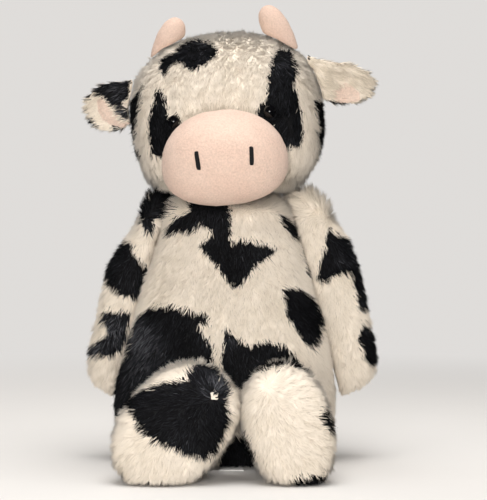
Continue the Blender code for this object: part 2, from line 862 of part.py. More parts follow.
def make_arm(side):
    """An arm's plush and its stuffing, on a hinge square to the flank."""
    point, normal, down = flank_frame(side)
    up = -down
    pivot = empty("shoulder_" + side, (0.0, 0.0, 0.0))
    pivot.matrix_basis = Matrix((normal, up.cross(normal), up)).transposed().to_4x4()
    pivot.location = shoulder_place(side)
    skin = arm_form("arm_skin_" + side, side, 0.0, pivot)
    cut(skin, arm_form("arm_hollow_" + side, side, plush_wall, pivot))
    out = Vector((1.0, 0.0, 0.0))
    cut(skin, rod("arm_mouth_" + side, Vector(), out, arm_mouth, arm_mouth_reach, arm_sides, pivot))
    finish(skin, "plush")
    filling = arm_form("arm_filling_" + side, side, plush_wall + stuffing_gap, pivot)
    finish(filling, "stuffing")


def leg_rings(side):
    """The leg's outlines from the back of the hip to the sole, about the hip's centre."""
    sign = side_sign[side]
    left = side == "left"
    foot_centre = foot_centre_left if left else foot_centre_right
    roll = foot_roll_left if left else foot_roll_right
    wide = foot_half_width * (foot_width_share_left if left else foot_width_share_right)
    high = foot_half_height * (foot_height_share_left if left else foot_height_share_right)
    turn = Matrix.Rotation(-sign * roll, 3, "Y")

    def outline(half_width, half_height, roundness):
        """An upright outline, rolled as the foot is."""
        points = oval(half_width, half_height, half_height, roundness, leg_sides)
        return [turn @ Vector((point.x, 0.0, point.y)) for point in points]

    foot = outline(wide, high, body_roundness)
    sink = foot_sink_left if left else foot_sink_right
    stand = -min(point.z for point in foot) - sink - hip_height
    rings = []
    centres = []
    for along, way, size in leg_shares:
        half_width = (thigh_radius + (wide - thigh_radius) * way) * size
        half_height = (thigh_radius + (high - thigh_radius) * way) * size
        roundness = body_roundness if way > 0.0 else round_outline
        centre = Vector((
            sign * (foot_centre - hip_spread) * way,
            thigh_radius - leg_length * along,
            stand * way,
        ))
        lean = math.tan(sole_lean) * way
        points = outline(half_width, half_height, roundness)
        rings.append([centre + point + Vector((0.0, point.z * lean, 0.0)) for point in points])
        centres.append(centre)
    last = centres[-1] + Vector((0.0, -leg_length * (1.0 - leg_shares[-1][0]), 0.0))
    return rings, Vector((0.0, thigh_radius, 0.0)), last, centres


def leg_form(name, side, wall, parent):
    """A leg's whole shape with its sole, its surface moved inwards by a wall."""
    rings, first, last, centres = leg_rings(side)
    form = mesh_object(name, inset(loft(rings, first, last), wall), parent)
    floor = Vector((0.0, 0.0, wall - hip_height))
    return cut(form, half_space(name + "_floor", floor, (0.0, 0.0, -1.0), parent))


def make_leg(side):
    """A leg's plush, its sole, its stuffing and the pellets in its foot, on a hinge at the hip."""
    pivot = empty("hip_" + side, hip_place(side))
    centres = leg_rings(side)[3]
    seam = centres[[share[0] for share in leg_shares].index(sole_seam_share)]
    ahead = Vector((0.0, -math.cos(sole_lean), math.sin(sole_lean)))
    skin = leg_form("leg_skin_" + side, side, 0.0, pivot)
    cut(skin, leg_form("leg_hollow_" + side, side, plush_wall, pivot))
    cut(skin, half_space("leg_front_" + side, seam, ahead, pivot))
    finish(skin, "plush")
    sole = leg_form("sole_" + side, side, 0.0, pivot)
    cut(sole, leg_form("sole_hollow_" + side, side, plush_wall, pivot))
    cut(sole, half_space("sole_back_" + side, seam + ahead * seam_gap, -ahead, pivot))
    finish(sole, "plush")
    lid = Vector((0.0, 0.0, foot_pouch_top - hip_height))
    heel = Vector((0.0, thigh_radius - leg_length * foot_pouch_share, 0.0))
    room = Vector((0.0, stuffing_gap, stuffing_gap))
    filling = leg_form("leg_filling_" + side, side, plush_wall + stuffing_gap, pivot)
    bm = bmesh.new()
    bmesh.ops.create_cube(bm, size=cutter_reach)
    corner = Vector((0.0, heel.y + room.y - cutter_reach / 2.0, lid.z + room.z - cutter_reach / 2.0))
    bmesh.ops.translate(bm, verts=bm.verts, vec=corner)
    cut(filling, mesh_object("foot_room_" + side, bm, pivot))
    finish(filling, "stuffing")
    pouch = leg_form("foot_pellets_" + side, side, plush_wall + stuffing_gap, pivot)
    cut(pouch, half_space("foot_lid_" + side, lid, (0.0, 0.0, 1.0), pivot))
    cut(pouch, half_space("foot_heel_" + side, heel, (0.0, 1.0, 0.0), pivot))
    finish(pouch, "pellets")


def body_back_at(height):
    """How far back the torso's plush reaches at a height."""
    rows = [(body_height * row[0] - floor_trim, body_back * row[3]) for row in body_shares]
    for (low, here), (high, there) in zip(rows, rows[1:]):
        if low <= height <= high:
            return here + (there - here) * (height - low) / (high - low)
    return body_back


def make_tail():
    """A short cord of plush that rests on the back, and the tuft at its end."""
    place = Vector((0.0, body_back_at(tail_height) + tail_radius + swing_gap, tail_height))
    pivot = empty("tail_pivot", place, (tail_lean, 0.0, 0.0))
    profile = arc(tail_radius, -math.pi / 2.0, math.pi / 2.0, tail_cap_steps)
    cord = [(radius, height - (tail_length if height <= 0.0 else 0.0)) for radius, height in profile]
    cord.insert(len(cord) // 2 + 1, (tail_radius, 0.0))
    tail = turned("tail_cord", cord, tail_sides, Vector(), pivot)
    finish(tail, "plush")
    top = -tail_length - tail_radius - seam_gap
    tuft = [(0.0, top - tuft_length)]
    tuft += [(tuft_radius * size, top - tuft_length * along) for along, size in reversed(tuft_shares)]
    tuft += [(0.0, top)]
    finish(turned("tail_tuft", tuft, tail_sides, Vector(), pivot), "plush")


def make_tag():
    """A blank ribbon tag caught in the seam under the front of the seat."""
    bm = bmesh.new()
    bmesh.ops.create_cube(bm, size=1.0)
    bmesh.ops.scale(bm, verts=bm.verts, vec=(tag_width, tag_length, tag_thickness))
    middle = Vector((tag_centre, tag_length / 2.0 - tag_front, tag_height + tag_thickness / 2.0))
    bmesh.ops.translate(bm, verts=bm.verts, vec=middle)
    tag = mesh_object("blank_tag", bm)
    cut(tag, torso_form("blank_tag_seam", -seam_gap))
    finish(tag, "ribbon")


def main():
    """Make every piece."""
    clear_scene()
    make_torso()
    make_neck()
    head = empty("head_set", (0.0, 0.0, 0.0), parent=bpy.data.objects["neck_pivot"])
    head.matrix_basis = Matrix.Translation(-neck_place()) @ head_matrix()
    make_head_shell(head)
    make_muzzle(head)
    for side in side_sign:
        make_eye(side, head)
        make_horn(side, head)
        make_ear(side, head)
        make_arm(side)
        make_leg(side)
    make_tail()
    make_tag()


main()
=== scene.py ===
"""Plush cow: smooth stuffed skins with their pile, velour, beads, stitches and tag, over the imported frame."""
import math

import bmesh
import bpy
import numpy as np
from mathutils import Matrix, Vector, noise
from mathutils.bvhtree import BVHTree
from mathutils.kdtree import KDTree


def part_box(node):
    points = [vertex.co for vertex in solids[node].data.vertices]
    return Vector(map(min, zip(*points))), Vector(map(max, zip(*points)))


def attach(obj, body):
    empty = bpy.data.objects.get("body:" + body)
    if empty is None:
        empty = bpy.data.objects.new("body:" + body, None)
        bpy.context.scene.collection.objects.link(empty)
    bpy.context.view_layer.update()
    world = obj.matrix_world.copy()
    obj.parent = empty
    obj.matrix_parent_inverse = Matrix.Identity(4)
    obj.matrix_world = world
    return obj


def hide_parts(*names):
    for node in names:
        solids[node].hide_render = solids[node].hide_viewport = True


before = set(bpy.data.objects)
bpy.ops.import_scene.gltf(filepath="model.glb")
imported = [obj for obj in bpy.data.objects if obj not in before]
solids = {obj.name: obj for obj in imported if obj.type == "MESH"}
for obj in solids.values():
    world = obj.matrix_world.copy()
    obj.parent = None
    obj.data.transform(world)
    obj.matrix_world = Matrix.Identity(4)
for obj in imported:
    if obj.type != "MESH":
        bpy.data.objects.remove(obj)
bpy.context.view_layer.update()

bl_info = {
    "name": "Plush cow",
    "version": (1, 0, 0),
    "blender": (4, 5, 0),
    "location": "3D View > Sidebar > Plush cow",
    "description": "Skins, pile, velour, eyes and stitches of a sitting plush cow",
    "category": "Object",
}

sides = ("left", "right")
neck_axis = (0.0, 0.006)
neck_height = 0.243

# Camera of the photograph
photo_width, photo_height = 487.0, 500.0
focal_pixels = 1333.0
sensor_width = 0.036
camera_place = Vector((0.015, -1.2, 0.174))
camera_pitch = math.radians(0.64)

made_materials = {}
pile_map = "OFBake"
noise_seed = 1796002550
noise.seed_set(noise_seed)

# Where the tints of cream and black pile start across the UV map, how far they reach, and their stops; the
# cream's dull end also takes the painted shade, and the black's pale end the painted glints
cream_start, black_start, tint_span = 0.03, 0.53, 0.44
pile_tints = {
    "cream_pile": ((0.03, (0.68, 0.66, 0.62)), (0.13, (0.86, 0.85, 0.82)), (0.27, (1.0, 1.0, 1.0)),
                   (0.47, (1.05, 1.06, 1.08))),
    "black_pile": ((0.53, (0.10, 0.10, 0.10)), (0.70, (0.30, 0.30, 0.30)), (0.84, (1.0, 1.0, 1.0)),
                   (0.97, (4.6, 4.5, 4.3))),
}

# How far a surface may turn away and still show the photograph's patches, and where the others start
turned_away, half_turned = 0.28, 0.12

square_centimetres = 1e4    # in a square metre
neighbour_reach = 0.012     # from a neighbour, within which it presses on the pile
root_depth = 0.0006         # of a lock's root in its backing
lift_height = 0.0013        # of a tip over a piece that it would run into
lock_flatness = 0.62        # a lock's thickness as a share of its width

# Patches of black pile in the photograph's pixels, each outline round the visible tips; a few of them also
# paint shadow in black, as marked
black_outlines = {
    "head": (
        ((160, 75), (159, 60), (169, 54), (186, 40), (198, 38), (210, 43), (217, 51), (213, 59), (205, 66),
         (194, 73), (184, 67), (181, 63), (170, 67), (165.5, 76)),
        ((280, 48), (291, 50), (295, 58), (299, 76), (293, 86), (297, 94), (299, 107), (303, 120),
         (303, 142), (300, 149), (288, 150), (278, 140), (268, 129), (258, 121), (256, 114), (261, 106),
         (267, 102), (268, 86), (271, 67), (275, 55)),
        ((159, 89), (164, 97), (166.5, 107), (168, 116), (174, 119), (182, 125), (176, 138), (168, 148),
         (164, 160), (150, 157), (150, 147), (148, 129), (150, 110), (156, 94)),
        ((142.5, 82), (134, 97), (124, 111), (120, 127), (124, 142), (133, 157), (137, 155), (134, 143),
         (134, 129), (136.5, 115), (140, 99)),
        # the black strip down the head's right edge: partly black pile, partly a painted shadow beside the head
        ((315, 101), (334, 100), (334, 140), (334, 165), (322, 192), (297, 194), (299.5, 184), (308, 176),
         (313.5, 168), (317.5, 158), (320.5, 148), (319, 140), (320.5, 129), (318, 114)),
    ),
    "body": (
        ((187, 200), (231, 200), (230.5, 246), (239, 241), (258, 244), (276, 250), (268, 261), (257, 266),
         (239, 289), (229, 285), (216, 266), (198, 246), (209, 239), (214, 234), (201, 226), (191, 234),
         (179, 233), (163, 238), (169, 223), (188, 212)),
        ((137, 316), (150, 308), (175, 308), (191, 314), (204, 316), (210, 328), (204, 335), (212, 348),
         (213, 362), (204, 380), (150, 410), (120, 470), (100, 470), (108, 408), (110, 379), (118, 370),
         (124, 360), (128, 338)),
        ((225, 328), (230, 335), (249, 348), (265, 343), (287, 349), (301, 364), (303, 372), (284, 380),
         (265, 380), (240, 390), (223, 390), (222, 364), (223, 344)),
        ((284, 289), (301, 289), (315, 298), (325, 319), (322, 340), (316, 351), (307, 346), (297, 332),
         (287, 314)),
        ((281, 217), (286, 216), (297, 228), (302, 240), (294, 238), (286, 228)),
        ((300, 238), (309, 240), (315, 256), (317, 280), (309, 276), (306, 258)),
        # between the feet: partly black pile, partly painted shade under the body
        ((221, 438), (258, 436), (262, 470), (218, 470)),
        ((158, 184), (180, 186), (174, 198), (167, 214), (158, 224)),
    ),
    "arm_right": (
        ((161, 182), (178, 184), (176, 200), (170, 218), (157, 221), (153, 236), (145, 235), (139, 224),
         (142, 206), (150, 196)),
        ((126, 240), (132, 251), (140, 263), (150, 273), (146, 292), (135, 301), (121, 297), (106, 288),
         (104, 270), (112, 252)),
        ((103, 312), (131, 315), (127, 338), (122, 352), (113, 359), (84, 357), (90, 347), (99, 340),
         (103, 333), (100, 321)),
    ),
    "arm_left": (
        ((329, 229), (336, 235), (348, 238), (360, 252), (373, 280), (375, 309), (360, 313), (357, 294),
         (352, 274), (338, 276), (323, 285), (317, 279), (320, 262), (326, 247)),
        ((367, 324), (380, 340), (382, 362), (370, 367), (365, 357), (360, 338)),
    ),
    "leg_right": (
        ((125, 403), (139, 391), (163, 382), (190, 381), (184, 374), (194, 365), (207, 363), (219, 370),
         (229, 381), (231, 393), (227, 402), (231, 413), (230.5, 423), (225, 438), (216, 456), (202, 461),
         (188, 457), (167, 449), (147, 440), (139, 432), (132, 418)),
    ),
    "leg_left": (
        ((231, 432), (243, 430), (256, 459), (248, 466), (234, 448)),
        ((294, 480.5), (318, 478), (330, 472), (332, 486), (294, 487)),
        ((253, 369), (255, 357), (265, 350), (284, 347), (299, 353), (309, 371), (300, 368), (290, 364.5),
         (278, 365.5), (266, 368.5), (258, 372)),
        ((322, 411), (328, 408), (336, 432), (331, 434), (325, 424)),
    ),
    "ear_right": (
        ((84, 92), (92, 74), (129, 70), (129, 87), (128.5, 98), (123, 103), (121, 108), (113, 108),
         (107, 104), (99, 96), (92, 95), (86, 101)),
        ((114, 109), (122, 109), (129, 114), (130, 121), (121, 121), (118, 115)),
        ((111, 126), (120, 127), (121, 140), (114, 140)),
        ((84, 118), (91, 118), (97, 130), (90, 132)),
    ),
    # under this ear: partly a black tuft, partly the ear's painted shadow
    "ear_left": (((333, 103), (347, 102.5), (346, 112), (334, 112)),),
}

# Cream specks and folds inside the black patches, in the photograph's pixels
pale_outlines = {
    "body": (((198, 325), (209, 327), (212, 336), (203, 337)),),
    "arm_right": (((102, 327), (107, 327), (106, 338), (101, 338)),),
    "leg_right": (((211, 397), (214, 394), (218.5, 397), (218, 402), (213, 403)),),
    "leg_left": (((283, 352), (294, 353), (302, 362), (290, 362.5), (279, 361)),),
}

# Patches out of the photograph's sight, each a ball with its middle and reach in metres
black_balls = {
    "head": (
        ((0.052, 0.060, 0.338), (0.042, 0.030, 0.036)),
        ((-0.046, 0.066, 0.290), (0.036, 0.028, 0.040)),
        ((-0.088, 0.020, 0.272), (0.022, 0.036, 0.034)),
        ((0.096, 0.016, 0.276), (0.022, 0.030, 0.026)),
    ),
    "body": (
        ((0.048, 0.078, 0.172), (0.046, 0.040, 0.046)),
        ((-0.052, 0.084, 0.092), (0.052, 0.044, 0.038)),
        ((-0.094, 0.010, 0.060), (0.034, 0.054, 0.046)),
        ((0.090, 0.040, 0.104), (0.030, 0.036, 0.040)),
        ((-0.030, 0.060, 0.206), (0.030, 0.030, 0.020)),
        ((0.060, 0.070, 0.024), (0.044, 0.040, 0.026)),
    ),
    "arm_right": (
        ((-0.096, 0.030, 0.178), (0.020, 0.026, 0.022)),
        ((-0.118, 0.030, 0.096), (0.026, 0.026, 0.020)),
    ),
    "arm_left": (
        ((0.092, 0.030, 0.168), (0.020, 0.026, 0.024)),
        ((0.114, 0.030, 0.092), (0.024, 0.024, 0.022)),
    ),
    "leg_right": (((-0.096, -0.060, 0.030), (0.026, 0.030, 0.026)),),
    "leg_left": (((0.098, -0.062, 0.034), (0.022, 0.030, 0.026)),),
    "ear_right": (((-0.100, 0.020, 0.330), (0.024, 0.030, 0.030)),),
    "ear_left": (((0.118, 0.012, 0.352), (0.022, 0.026, 0.018)),),
    "tail": (((0.0, 0.110, 0.030), (0.060, 0.080, 0.042)),),
}

# Seams and folds that pinch the pile, in the photograph's pixels, each with its share of the depth
seam_lines = {
    "head": (
        (1.0, ((160, 56), (164, 76), (167, 92), (168, 110))),
        (1.0, ((281, 46), (273, 62), (269, 86), (267, 103), (261, 114))),
    ),
    "body": (
        (1.0, ((233, 196), (231, 246), (236, 290), (237, 330), (234, 372))),
        (1.7, ((277, 190), (281, 202), (288, 214), (296, 228), (303, 241), (308, 252))),
        (1.7, ((175, 194), (168, 212), (162, 230), (154, 250), (148, 266))),
    ),
}

# Pink lining left bare of pile on the ears' fronts
lining_outlines = {
    "ear_left": ((332, 92), (334.5, 88.5), (340, 85), (345, 83.5), (351, 84.5), (355, 88.5), (360, 94),
                 (360.5, 101), (347, 103), (335.5, 103), (333, 97)),
    "ear_right": ((98.5, 97), (103, 98.5), (107.5, 105), (113.5, 109), (118, 116), (123, 121), (130, 122),
                  (130, 127.5), (120, 127), (111, 125), (103, 120), (98.5, 112), (97, 103)),
}

# Painted glints in the black, grey locks where light catches the fibres' tips: a place in the photograph's
# pixels, its reach and how far it fades
glint_places = {
    "head": (((205, 46), 16, 0.35), ((283, 62), 14, 0.2), ((292, 142), 12, 0.45)),
    "body": (((146, 335), 26, 0.45), ((136, 372), 26, 0.40), ((232, 338), 12, 0.5), ((209, 335), 14, 0.4)),
    "arm_right": (((112, 326), 20, 0.75), ((100, 346), 16, 0.6)),
    "arm_left": (((342, 258), 10, 0.4),),
    "leg_right": (((217, 388), 12, 0.75), ((199, 370), 9, 0.25)),
    "ear_right": (((121, 92), 12, 0.5), ((124, 112), 10, 0.7)),
}

# Painted shade on the cream, along the muzzle's top edge and over the ears, which turn from the light, and
# darker cream along the right foot's lower edge: a line in the photograph's pixels, its reach and how far it
# darkens
shade_lines = {
    "head": ((3.5, 0.9, ((182, 113), (193, 109), (205, 106.5), (224, 105), (246, 106), (263, 111))),),
    "ear_left": ((60.0, 0.8, ((310, 78), (372, 90))),),
    "ear_right": ((40.0, 0.6, ((92, 110), (140, 90))),),
    "leg_right": ((5.0, 0.9, ((118, 469), (125, 473))),),
}


def length_of(name, description, default):
    """A length that a user can change."""
    return bpy.props.FloatProperty(name=name, description=description, default=default, unit="LENGTH")


def share_of(name, description, default):
    """A share, from none to all, that a user can change."""
    return bpy.props.FloatProperty(name=name, description=description, default=default, subtype="FACTOR")


def power_of(name, description, default):
    """A lamp's power that a user can change."""
    return bpy.props.FloatProperty(name=name, description=description, default=default, unit="POWER")


def colour_of(name, description, default):
    """A colour that a user can change."""
    return bpy.props.FloatVectorProperty(
        name=name, description=description, default=default, size=3, subtype="COLOR")


class CowPile(bpy.types.PropertyGroup):
    """The pile's lengths, its locks and its colours"""
    length: length_of("Pile length", "Length of the plush's pile", 0.0088)
    neck_length: length_of("Neck pile length", "Length of the pile round the neck seam", 0.0145)
    ear_length: length_of("Ear pile length", "Length of the pile on the ears", 0.0080)
    lash_length: length_of("Eye pile length", "Length of the pile that stands round the eyes", 0.0124)
    collar_length: length_of("Collar pile length", "Length of the locks that fill the neck's fold", 0.032)
    tail_length: length_of("Tail pile length", "Length of the pile on the tail", 0.0070)
    strand_width: length_of("Lock width", "Width of one lock of pile at its widest", 0.00098)
    density: bpy.props.FloatProperty(
        name="Locks per square centimetre", description="How closely the locks stand", default=100.0)
    clump: length_of("Clump size", "Distance between the points that the tips lean to", 0.0058)
    gather: share_of("Clumping", "How far the tips lean together", 0.38)
    strays: share_of("Stray locks", "Share of the locks that stand up from the rest", 0.08)
    fray: length_of("Fray", "How far black and cream locks mix at a patch's edge", 0.0011)
    cream: colour_of("Cream pile", "Colour of the pale pile", (0.91, 0.81, 0.685))
    black: colour_of("Black pile", "Colour of the dark pile", (0.030, 0.031, 0.036))


class CowSkin(bpy.types.PropertyGroup):
    """The skins' meshes, their seams and the colours of the short velour"""
    cell: length_of("Cell", "Cell size of the large skins' meshes", 0.0038)
    limb_cell: length_of("Limb cell", "Cell size of the limbs' meshes", 0.0028)
    pile_depth: length_of("Pile depth", "How far the backing lies below the tips of the pile", 0.0034)
    seam_depth: length_of("Seam depth", "How deep a panel seam pulls in", 0.0020)
    muzzle: colour_of("Muzzle velour", "Colour of the muzzle", (0.66, 0.50, 0.415))
    horn: colour_of("Horn velour", "Colour of the horns", (0.61, 0.455, 0.375))
    lining: colour_of("Ear lining", "Colour of the ears' lining", (0.70, 0.55, 0.46))


class CowTrim(bpy.types.PropertyGroup):
    """The eyes, the threads and the tag"""
    eye: colour_of("Eye", "Colour of the bead eyes", (0.0025, 0.0025, 0.003))
    thread: colour_of("Black thread", "Colour of the nostril stitches", (0.010, 0.010, 0.011))
    pale_thread: colour_of("Cream thread", "Colour of the neck seam", (0.78, 0.73, 0.64))
    ribbon: colour_of("Ribbon", "Colour of the bare tag", (0.80, 0.80, 0.78))
    washer: colour_of("Eye washer", "Colour of the eye washers", (0.70, 0.70, 0.68))
    strands: bpy.props.IntProperty(
        name="Threads per stitch", description="Threads that lie side by side in a nostril stitch", default=5)
    thread_radius: length_of("Thread radius", "Radius of one thread of a stitch", 0.00048)


class CowStage(bpy.types.PropertyGroup):
    """The floor and the lights"""
    floor: colour_of("Floor", "Colour of the floor and the backdrop", (0.74, 0.72, 0.70))
    key_power: power_of("Key lamp", "Power of the large front lamp", 14.6)
    fill_power: power_of("Fill lamp", "Power of the side lamp", 3.0)
    back_power: power_of("Back lamp", "Power of the lamp behind", 6.0)
    top_power: power_of("Top lamp", "Power of the lamp overhead", 20.0)
    sky: bpy.props.FloatProperty(
        name="Sky strength", description="Strength of the even light from all round", default=0.32)


# Meshes

def coordinates(mesh):
    """The mesh's points as rows of an array."""
    values = np.empty(len(mesh.vertices) * 3)
    mesh.vertices.foreach_get("co", values)
    return values.reshape(-1, 3)


def place_points(mesh, points):
    """Puts the mesh's points at those rows."""
    mesh.vertices.foreach_set("co", points.ravel())
    mesh.update()


def normals_of(mesh):
    """The mesh's point normals as rows of an array."""
    values = np.empty(len(mesh.vertices) * 3, np.float32)
    mesh.vertex_normals.foreach_get("vector", values)
    return values.reshape(-1, 3).astype(float)


def face_places(mesh):
    """The middles and the normals of the mesh's faces, each as rows of an array."""
    found = []
    for name in ("center", "normal"):
        values = np.empty(len(mesh.polygons) * 3)
        mesh.polygons.foreach_get(name, values)
        found.append(values.reshape(-1, 3))
    return found


def unit(vectors):
    """Rows scaled to length one."""
    length = np.linalg.norm(vectors, axis=-1, keepdims=True)
    return vectors / np.maximum(length, 1e-9)


def added(name, data):
    """A new object of that mesh, light or camera in the scene."""
    piece = bpy.data.objects.new(name, data)
    bpy.context.scene.collection.objects.link(piece)
    return piece


def settled(name, shape, smooth=True):
    """A finished object from a bmesh, which is freed."""
    mesh = bpy.data.meshes.new(name)
    shape.to_mesh(mesh)
    shape.free()
    if smooth:
        mesh.shade_smooth()
    return added(name, mesh)


def copied(*nodes):
    """One bmesh from copies of the solids, with their loose triangles joined."""
    shape = bmesh.new()
    for node in nodes:
        shape.from_mesh(solids[node].data)
    bmesh.ops.remove_doubles(shape, verts=shape.verts, dist=1e-6)
    return shape


def tree_of(*nodes):
    """A search tree over the solids."""
    shape = copied(*nodes)
    tree = BVHTree.FromBMesh(shape)
    shape.free()
    return tree


def shell_of(part):
    """A search tree over a stuffed part's outer solids; the part's name may end in its side."""
    stem, _, side = part.partition("_")
    words = {"leg": ("leg_skin", "leg_filling", "sole"), "ear": ("ear_back", "ear_lining")}
    nodes = words.get(stem, (stem + "_skin", stem + "_filling"))
    return tree_of(*[node + "_" + side if side else node for node in nodes])


def titled(part, word):
    """The name of a part's piece, with the side at its end."""
    stem, _, side = part.partition("_")
    return "_".join(filter(None, (stem, word, side)))


def largest_island(shape):
    """Deletes all but the largest connected part."""
    left = set(shape.verts)
    islands = []
    while left:
        seed = left.pop()
        island = [seed]
        front = [seed]
        while front:
            point = front.pop()
            for edge in point.link_edges:
                other = edge.other_vert(point)
                if other in left:
                    left.remove(other)
                    island.append(other)
                    front.append(other)
        islands.append(island)
    islands.sort(key=len)
    spare = [point for island in islands[:-1] for point in island]
    if spare:
        bmesh.ops.delete(shape, geom=spare, context="VERTS")


def remeshed(name, nodes, cell, passes):
    """One smooth closed skin round the solids."""
    shape = copied(*nodes)
    mesh = bpy.data.meshes.new(name + "_raw")
    shape.to_mesh(mesh)
    shape.free()
    raw = added(name + "_raw", mesh)
    remesh = raw.modifiers.new("Cells", "REMESH")
    remesh.mode = "VOXEL"
    remesh.voxel_size = cell
    evaluated = raw.evaluated_get(bpy.context.evaluated_depsgraph_get())
    shape = bmesh.new()
    shape.from_mesh(evaluated.to_mesh())
    evaluated.to_mesh_clear()
    bpy.data.objects.remove(raw)
    bpy.data.meshes.remove(mesh)
    largest_island(shape)
    for _ in range(passes):
        bmesh.ops.smooth_vert(
            shape, verts=shape.verts, factor=0.5, use_axis_x=True, use_axis_y=True, use_axis_z=True)
    return settled(name, shape)


def spread(values, first, second, passes):
    """Values averaged over each point's neighbours a few times."""
    for _ in range(passes):
        total = values.copy()
        number = np.ones(len(values))
        np.add.at(total, first, values[second])
        np.add.at(total, second, values[first])
        np.add.at(number, first, 1.0)
        np.add.at(number, second, 1.0)
        values = total / number
    return values


def set_depth(piece, tree, depth, passes=8):
    """Moves a skin to lie evenly below the solids' surface; depth is a number or a function of a point."""
    mesh = piece.data
    points = coordinates(mesh)
    normals = normals_of(mesh)
    edges = np.empty(len(mesh.edges) * 2, int)
    mesh.edges.foreach_get("vertices", edges)
    furthest = 0.006
    move = np.zeros(len(points))
    for index, point in enumerate(points):
        place, face_normal, _, distance = tree.find_nearest(Vector(point))
        beneath = -(Vector(point) - place).dot(face_normal)
        beneath = math.copysign(distance, beneath)
        wanted = depth(point) if callable(depth) else depth
        move[index] = max(-furthest, min(furthest, beneath - wanted))
    move = spread(move, edges[0::2], edges[1::2], passes)
    place_points(mesh, points + normals * move[:, None])


# Projection through the photograph's camera

def pixels(points):
    """Where points fall in the photograph, in pixels."""
    offset = points - np.array(camera_place)
    ahead = offset[:, 1] * math.cos(camera_pitch) + offset[:, 2] * math.sin(camera_pitch)
    upward = -offset[:, 1] * math.sin(camera_pitch) + offset[:, 2] * math.cos(camera_pitch)
    across = photo_width / 2 + focal_pixels * offset[:, 0] / ahead
    down = photo_height / 2 - focal_pixels * upward / ahead
    return np.stack((across, down), axis=1)


def inside(places, outline):
    """Which places lie inside a closed outline."""
    within = np.zeros(len(places), bool)
    x, y = places[:, 0], places[:, 1]
    previous = outline[-1]
    for corner in outline:
        (x0, y0), (x1, y1) = previous, corner
        if y0 != y1:
            crossing = (y0 > y) != (y1 > y)
            within ^= crossing & (x < (x1 - x0) * (y - y0) / (y1 - y0) + x0)
        previous = corner
    return within


def line_distance(places, line):
    """Distance of places from a line of several stretches."""
    nearest = np.full(len(places), 1e9)
    for start, end in zip(line, line[1:]):
        start, end = np.array(start, float), np.array(end, float)
        way = end - start
        share = np.clip(((places - start) @ way) / (way @ way), 0.0, 1.0)
        gap = np.linalg.norm(places - (start + share[:, None] * way), axis=1)
        nearest = np.minimum(nearest, gap)
    return nearest


def facing_of(points, normals):
    """How far a surface at those points looks at the camera, from -1 to 1."""
    return (normals * unit(np.array(camera_place) - points)).sum(axis=1)


def ripple(points, scale, offset):
    """A smooth noise vector for each point, each part about from -1 to 1."""
    shift = Vector((offset, offset, offset))
    return np.array([noise.noise_vector(Vector(point) * scale + shift) for point in points])


def is_black(part, points, facing):
    """Which points lie in a black patch; facing is how far their surface looks at the camera."""
    black = np.zeros(len(points), bool)
    if not len(points):
        return black
    swing = 0.010 if part.startswith("ear") else 0.030
    wavy = points + ripple(points, 30.0, 3.0) * swing + ripple(points, 95.0, 9.0) * 0.009
    wavy += ripple(points, 330.0, 7.0) * 0.0012
    places = pixels(points + ripple(points, 260.0, 11.0) * 0.0012)
    seen = facing > ripple(points, 62.0, 13.0)[:, 0] * 0.20 - turned_away
    for outline in black_outlines.get(part, ()):
        black |= inside(places, outline) & seen
    for outline in pale_outlines.get(part, ()):
        black &= ~(inside(places, outline) & seen)
    for middle, reach in black_balls.get(part, ()):
        ball = (((wavy - np.array(middle)) / np.array(reach)) ** 2).sum(axis=1) < 1.0
        black |= ball & (facing < half_turned)
    return black


# Materials

def feed(tree, node, values):
    """Sets each of the node's inputs to a value, or links it to the socket given."""
    for name, value in values.items():
        if isinstance(value, bpy.types.NodeSocket):
            tree.links.new(value, node.inputs[name])
        else:
            node.inputs[name].default_value = value


def new_node(tree, kind, values=None, **settings):
    """A new shader node with its settings and its inputs."""
    node = tree.nodes.new("ShaderNode" + kind)
    for name, value in settings.items():
        setattr(node, name, value)
    feed(tree, node, values or {})
    return node


def ramp(tree, source, stops):
    """The colour of a ramp over a source; each stop is a place and a colour."""
    made = new_node(tree, "ValToRGB", {"Fac": source})
    for _ in stops[2:]:
        made.color_ramp.elements.new(0.5)
    for stop, (place, shade) in zip(made.color_ramp.elements, stops):
        stop.position = place
        stop.color = (*shade, 1.0)
    return made.outputs["Color"]


def multiplied(tree, first, second):
    """One colour multiplied by another."""
    values = {"Factor": 1.0, "A": first, "B": second}
    return new_node(tree, "Mix", values, data_type="RGBA", blend_type="MULTIPLY").outputs["Result"]


def new_material(name):
    """A material with its node tree and its shader."""
    material = bpy.data.materials.new(name)
    material.use_nodes = True
    return material, material.node_tree, material.node_tree.nodes["Principled BSDF"]


def pile_material(name, colour, root_shade_share, gloss, sheen, tints):
    """Pile whose colour runs from a painted shade at the root to full at the tip up its own UV map, and from
    dull to full across it.
    """
    material, tree, shader = new_material(name)
    where = new_node(tree, "UVMap", uv_map=pile_map)
    parts = new_node(tree, "SeparateXYZ", {"Vector": where.outputs["UV"]})
    # painted shade: the root is darker, where the shade between the locks falls
    dark = [channel * root_shade_share for channel in colour]
    along = ramp(tree, parts.outputs["Y"], ((0.0, dark), (0.62, colour)))
    tint = ramp(tree, parts.outputs["X"], tints)
    feed(tree, shader, {
        "Base Color": multiplied(tree, along, tint),
        "Roughness": 0.62,
        "Specular IOR Level": gloss,
        "Sheen Weight": sheen,
        "Sheen Roughness": 0.5,
    })
    return material


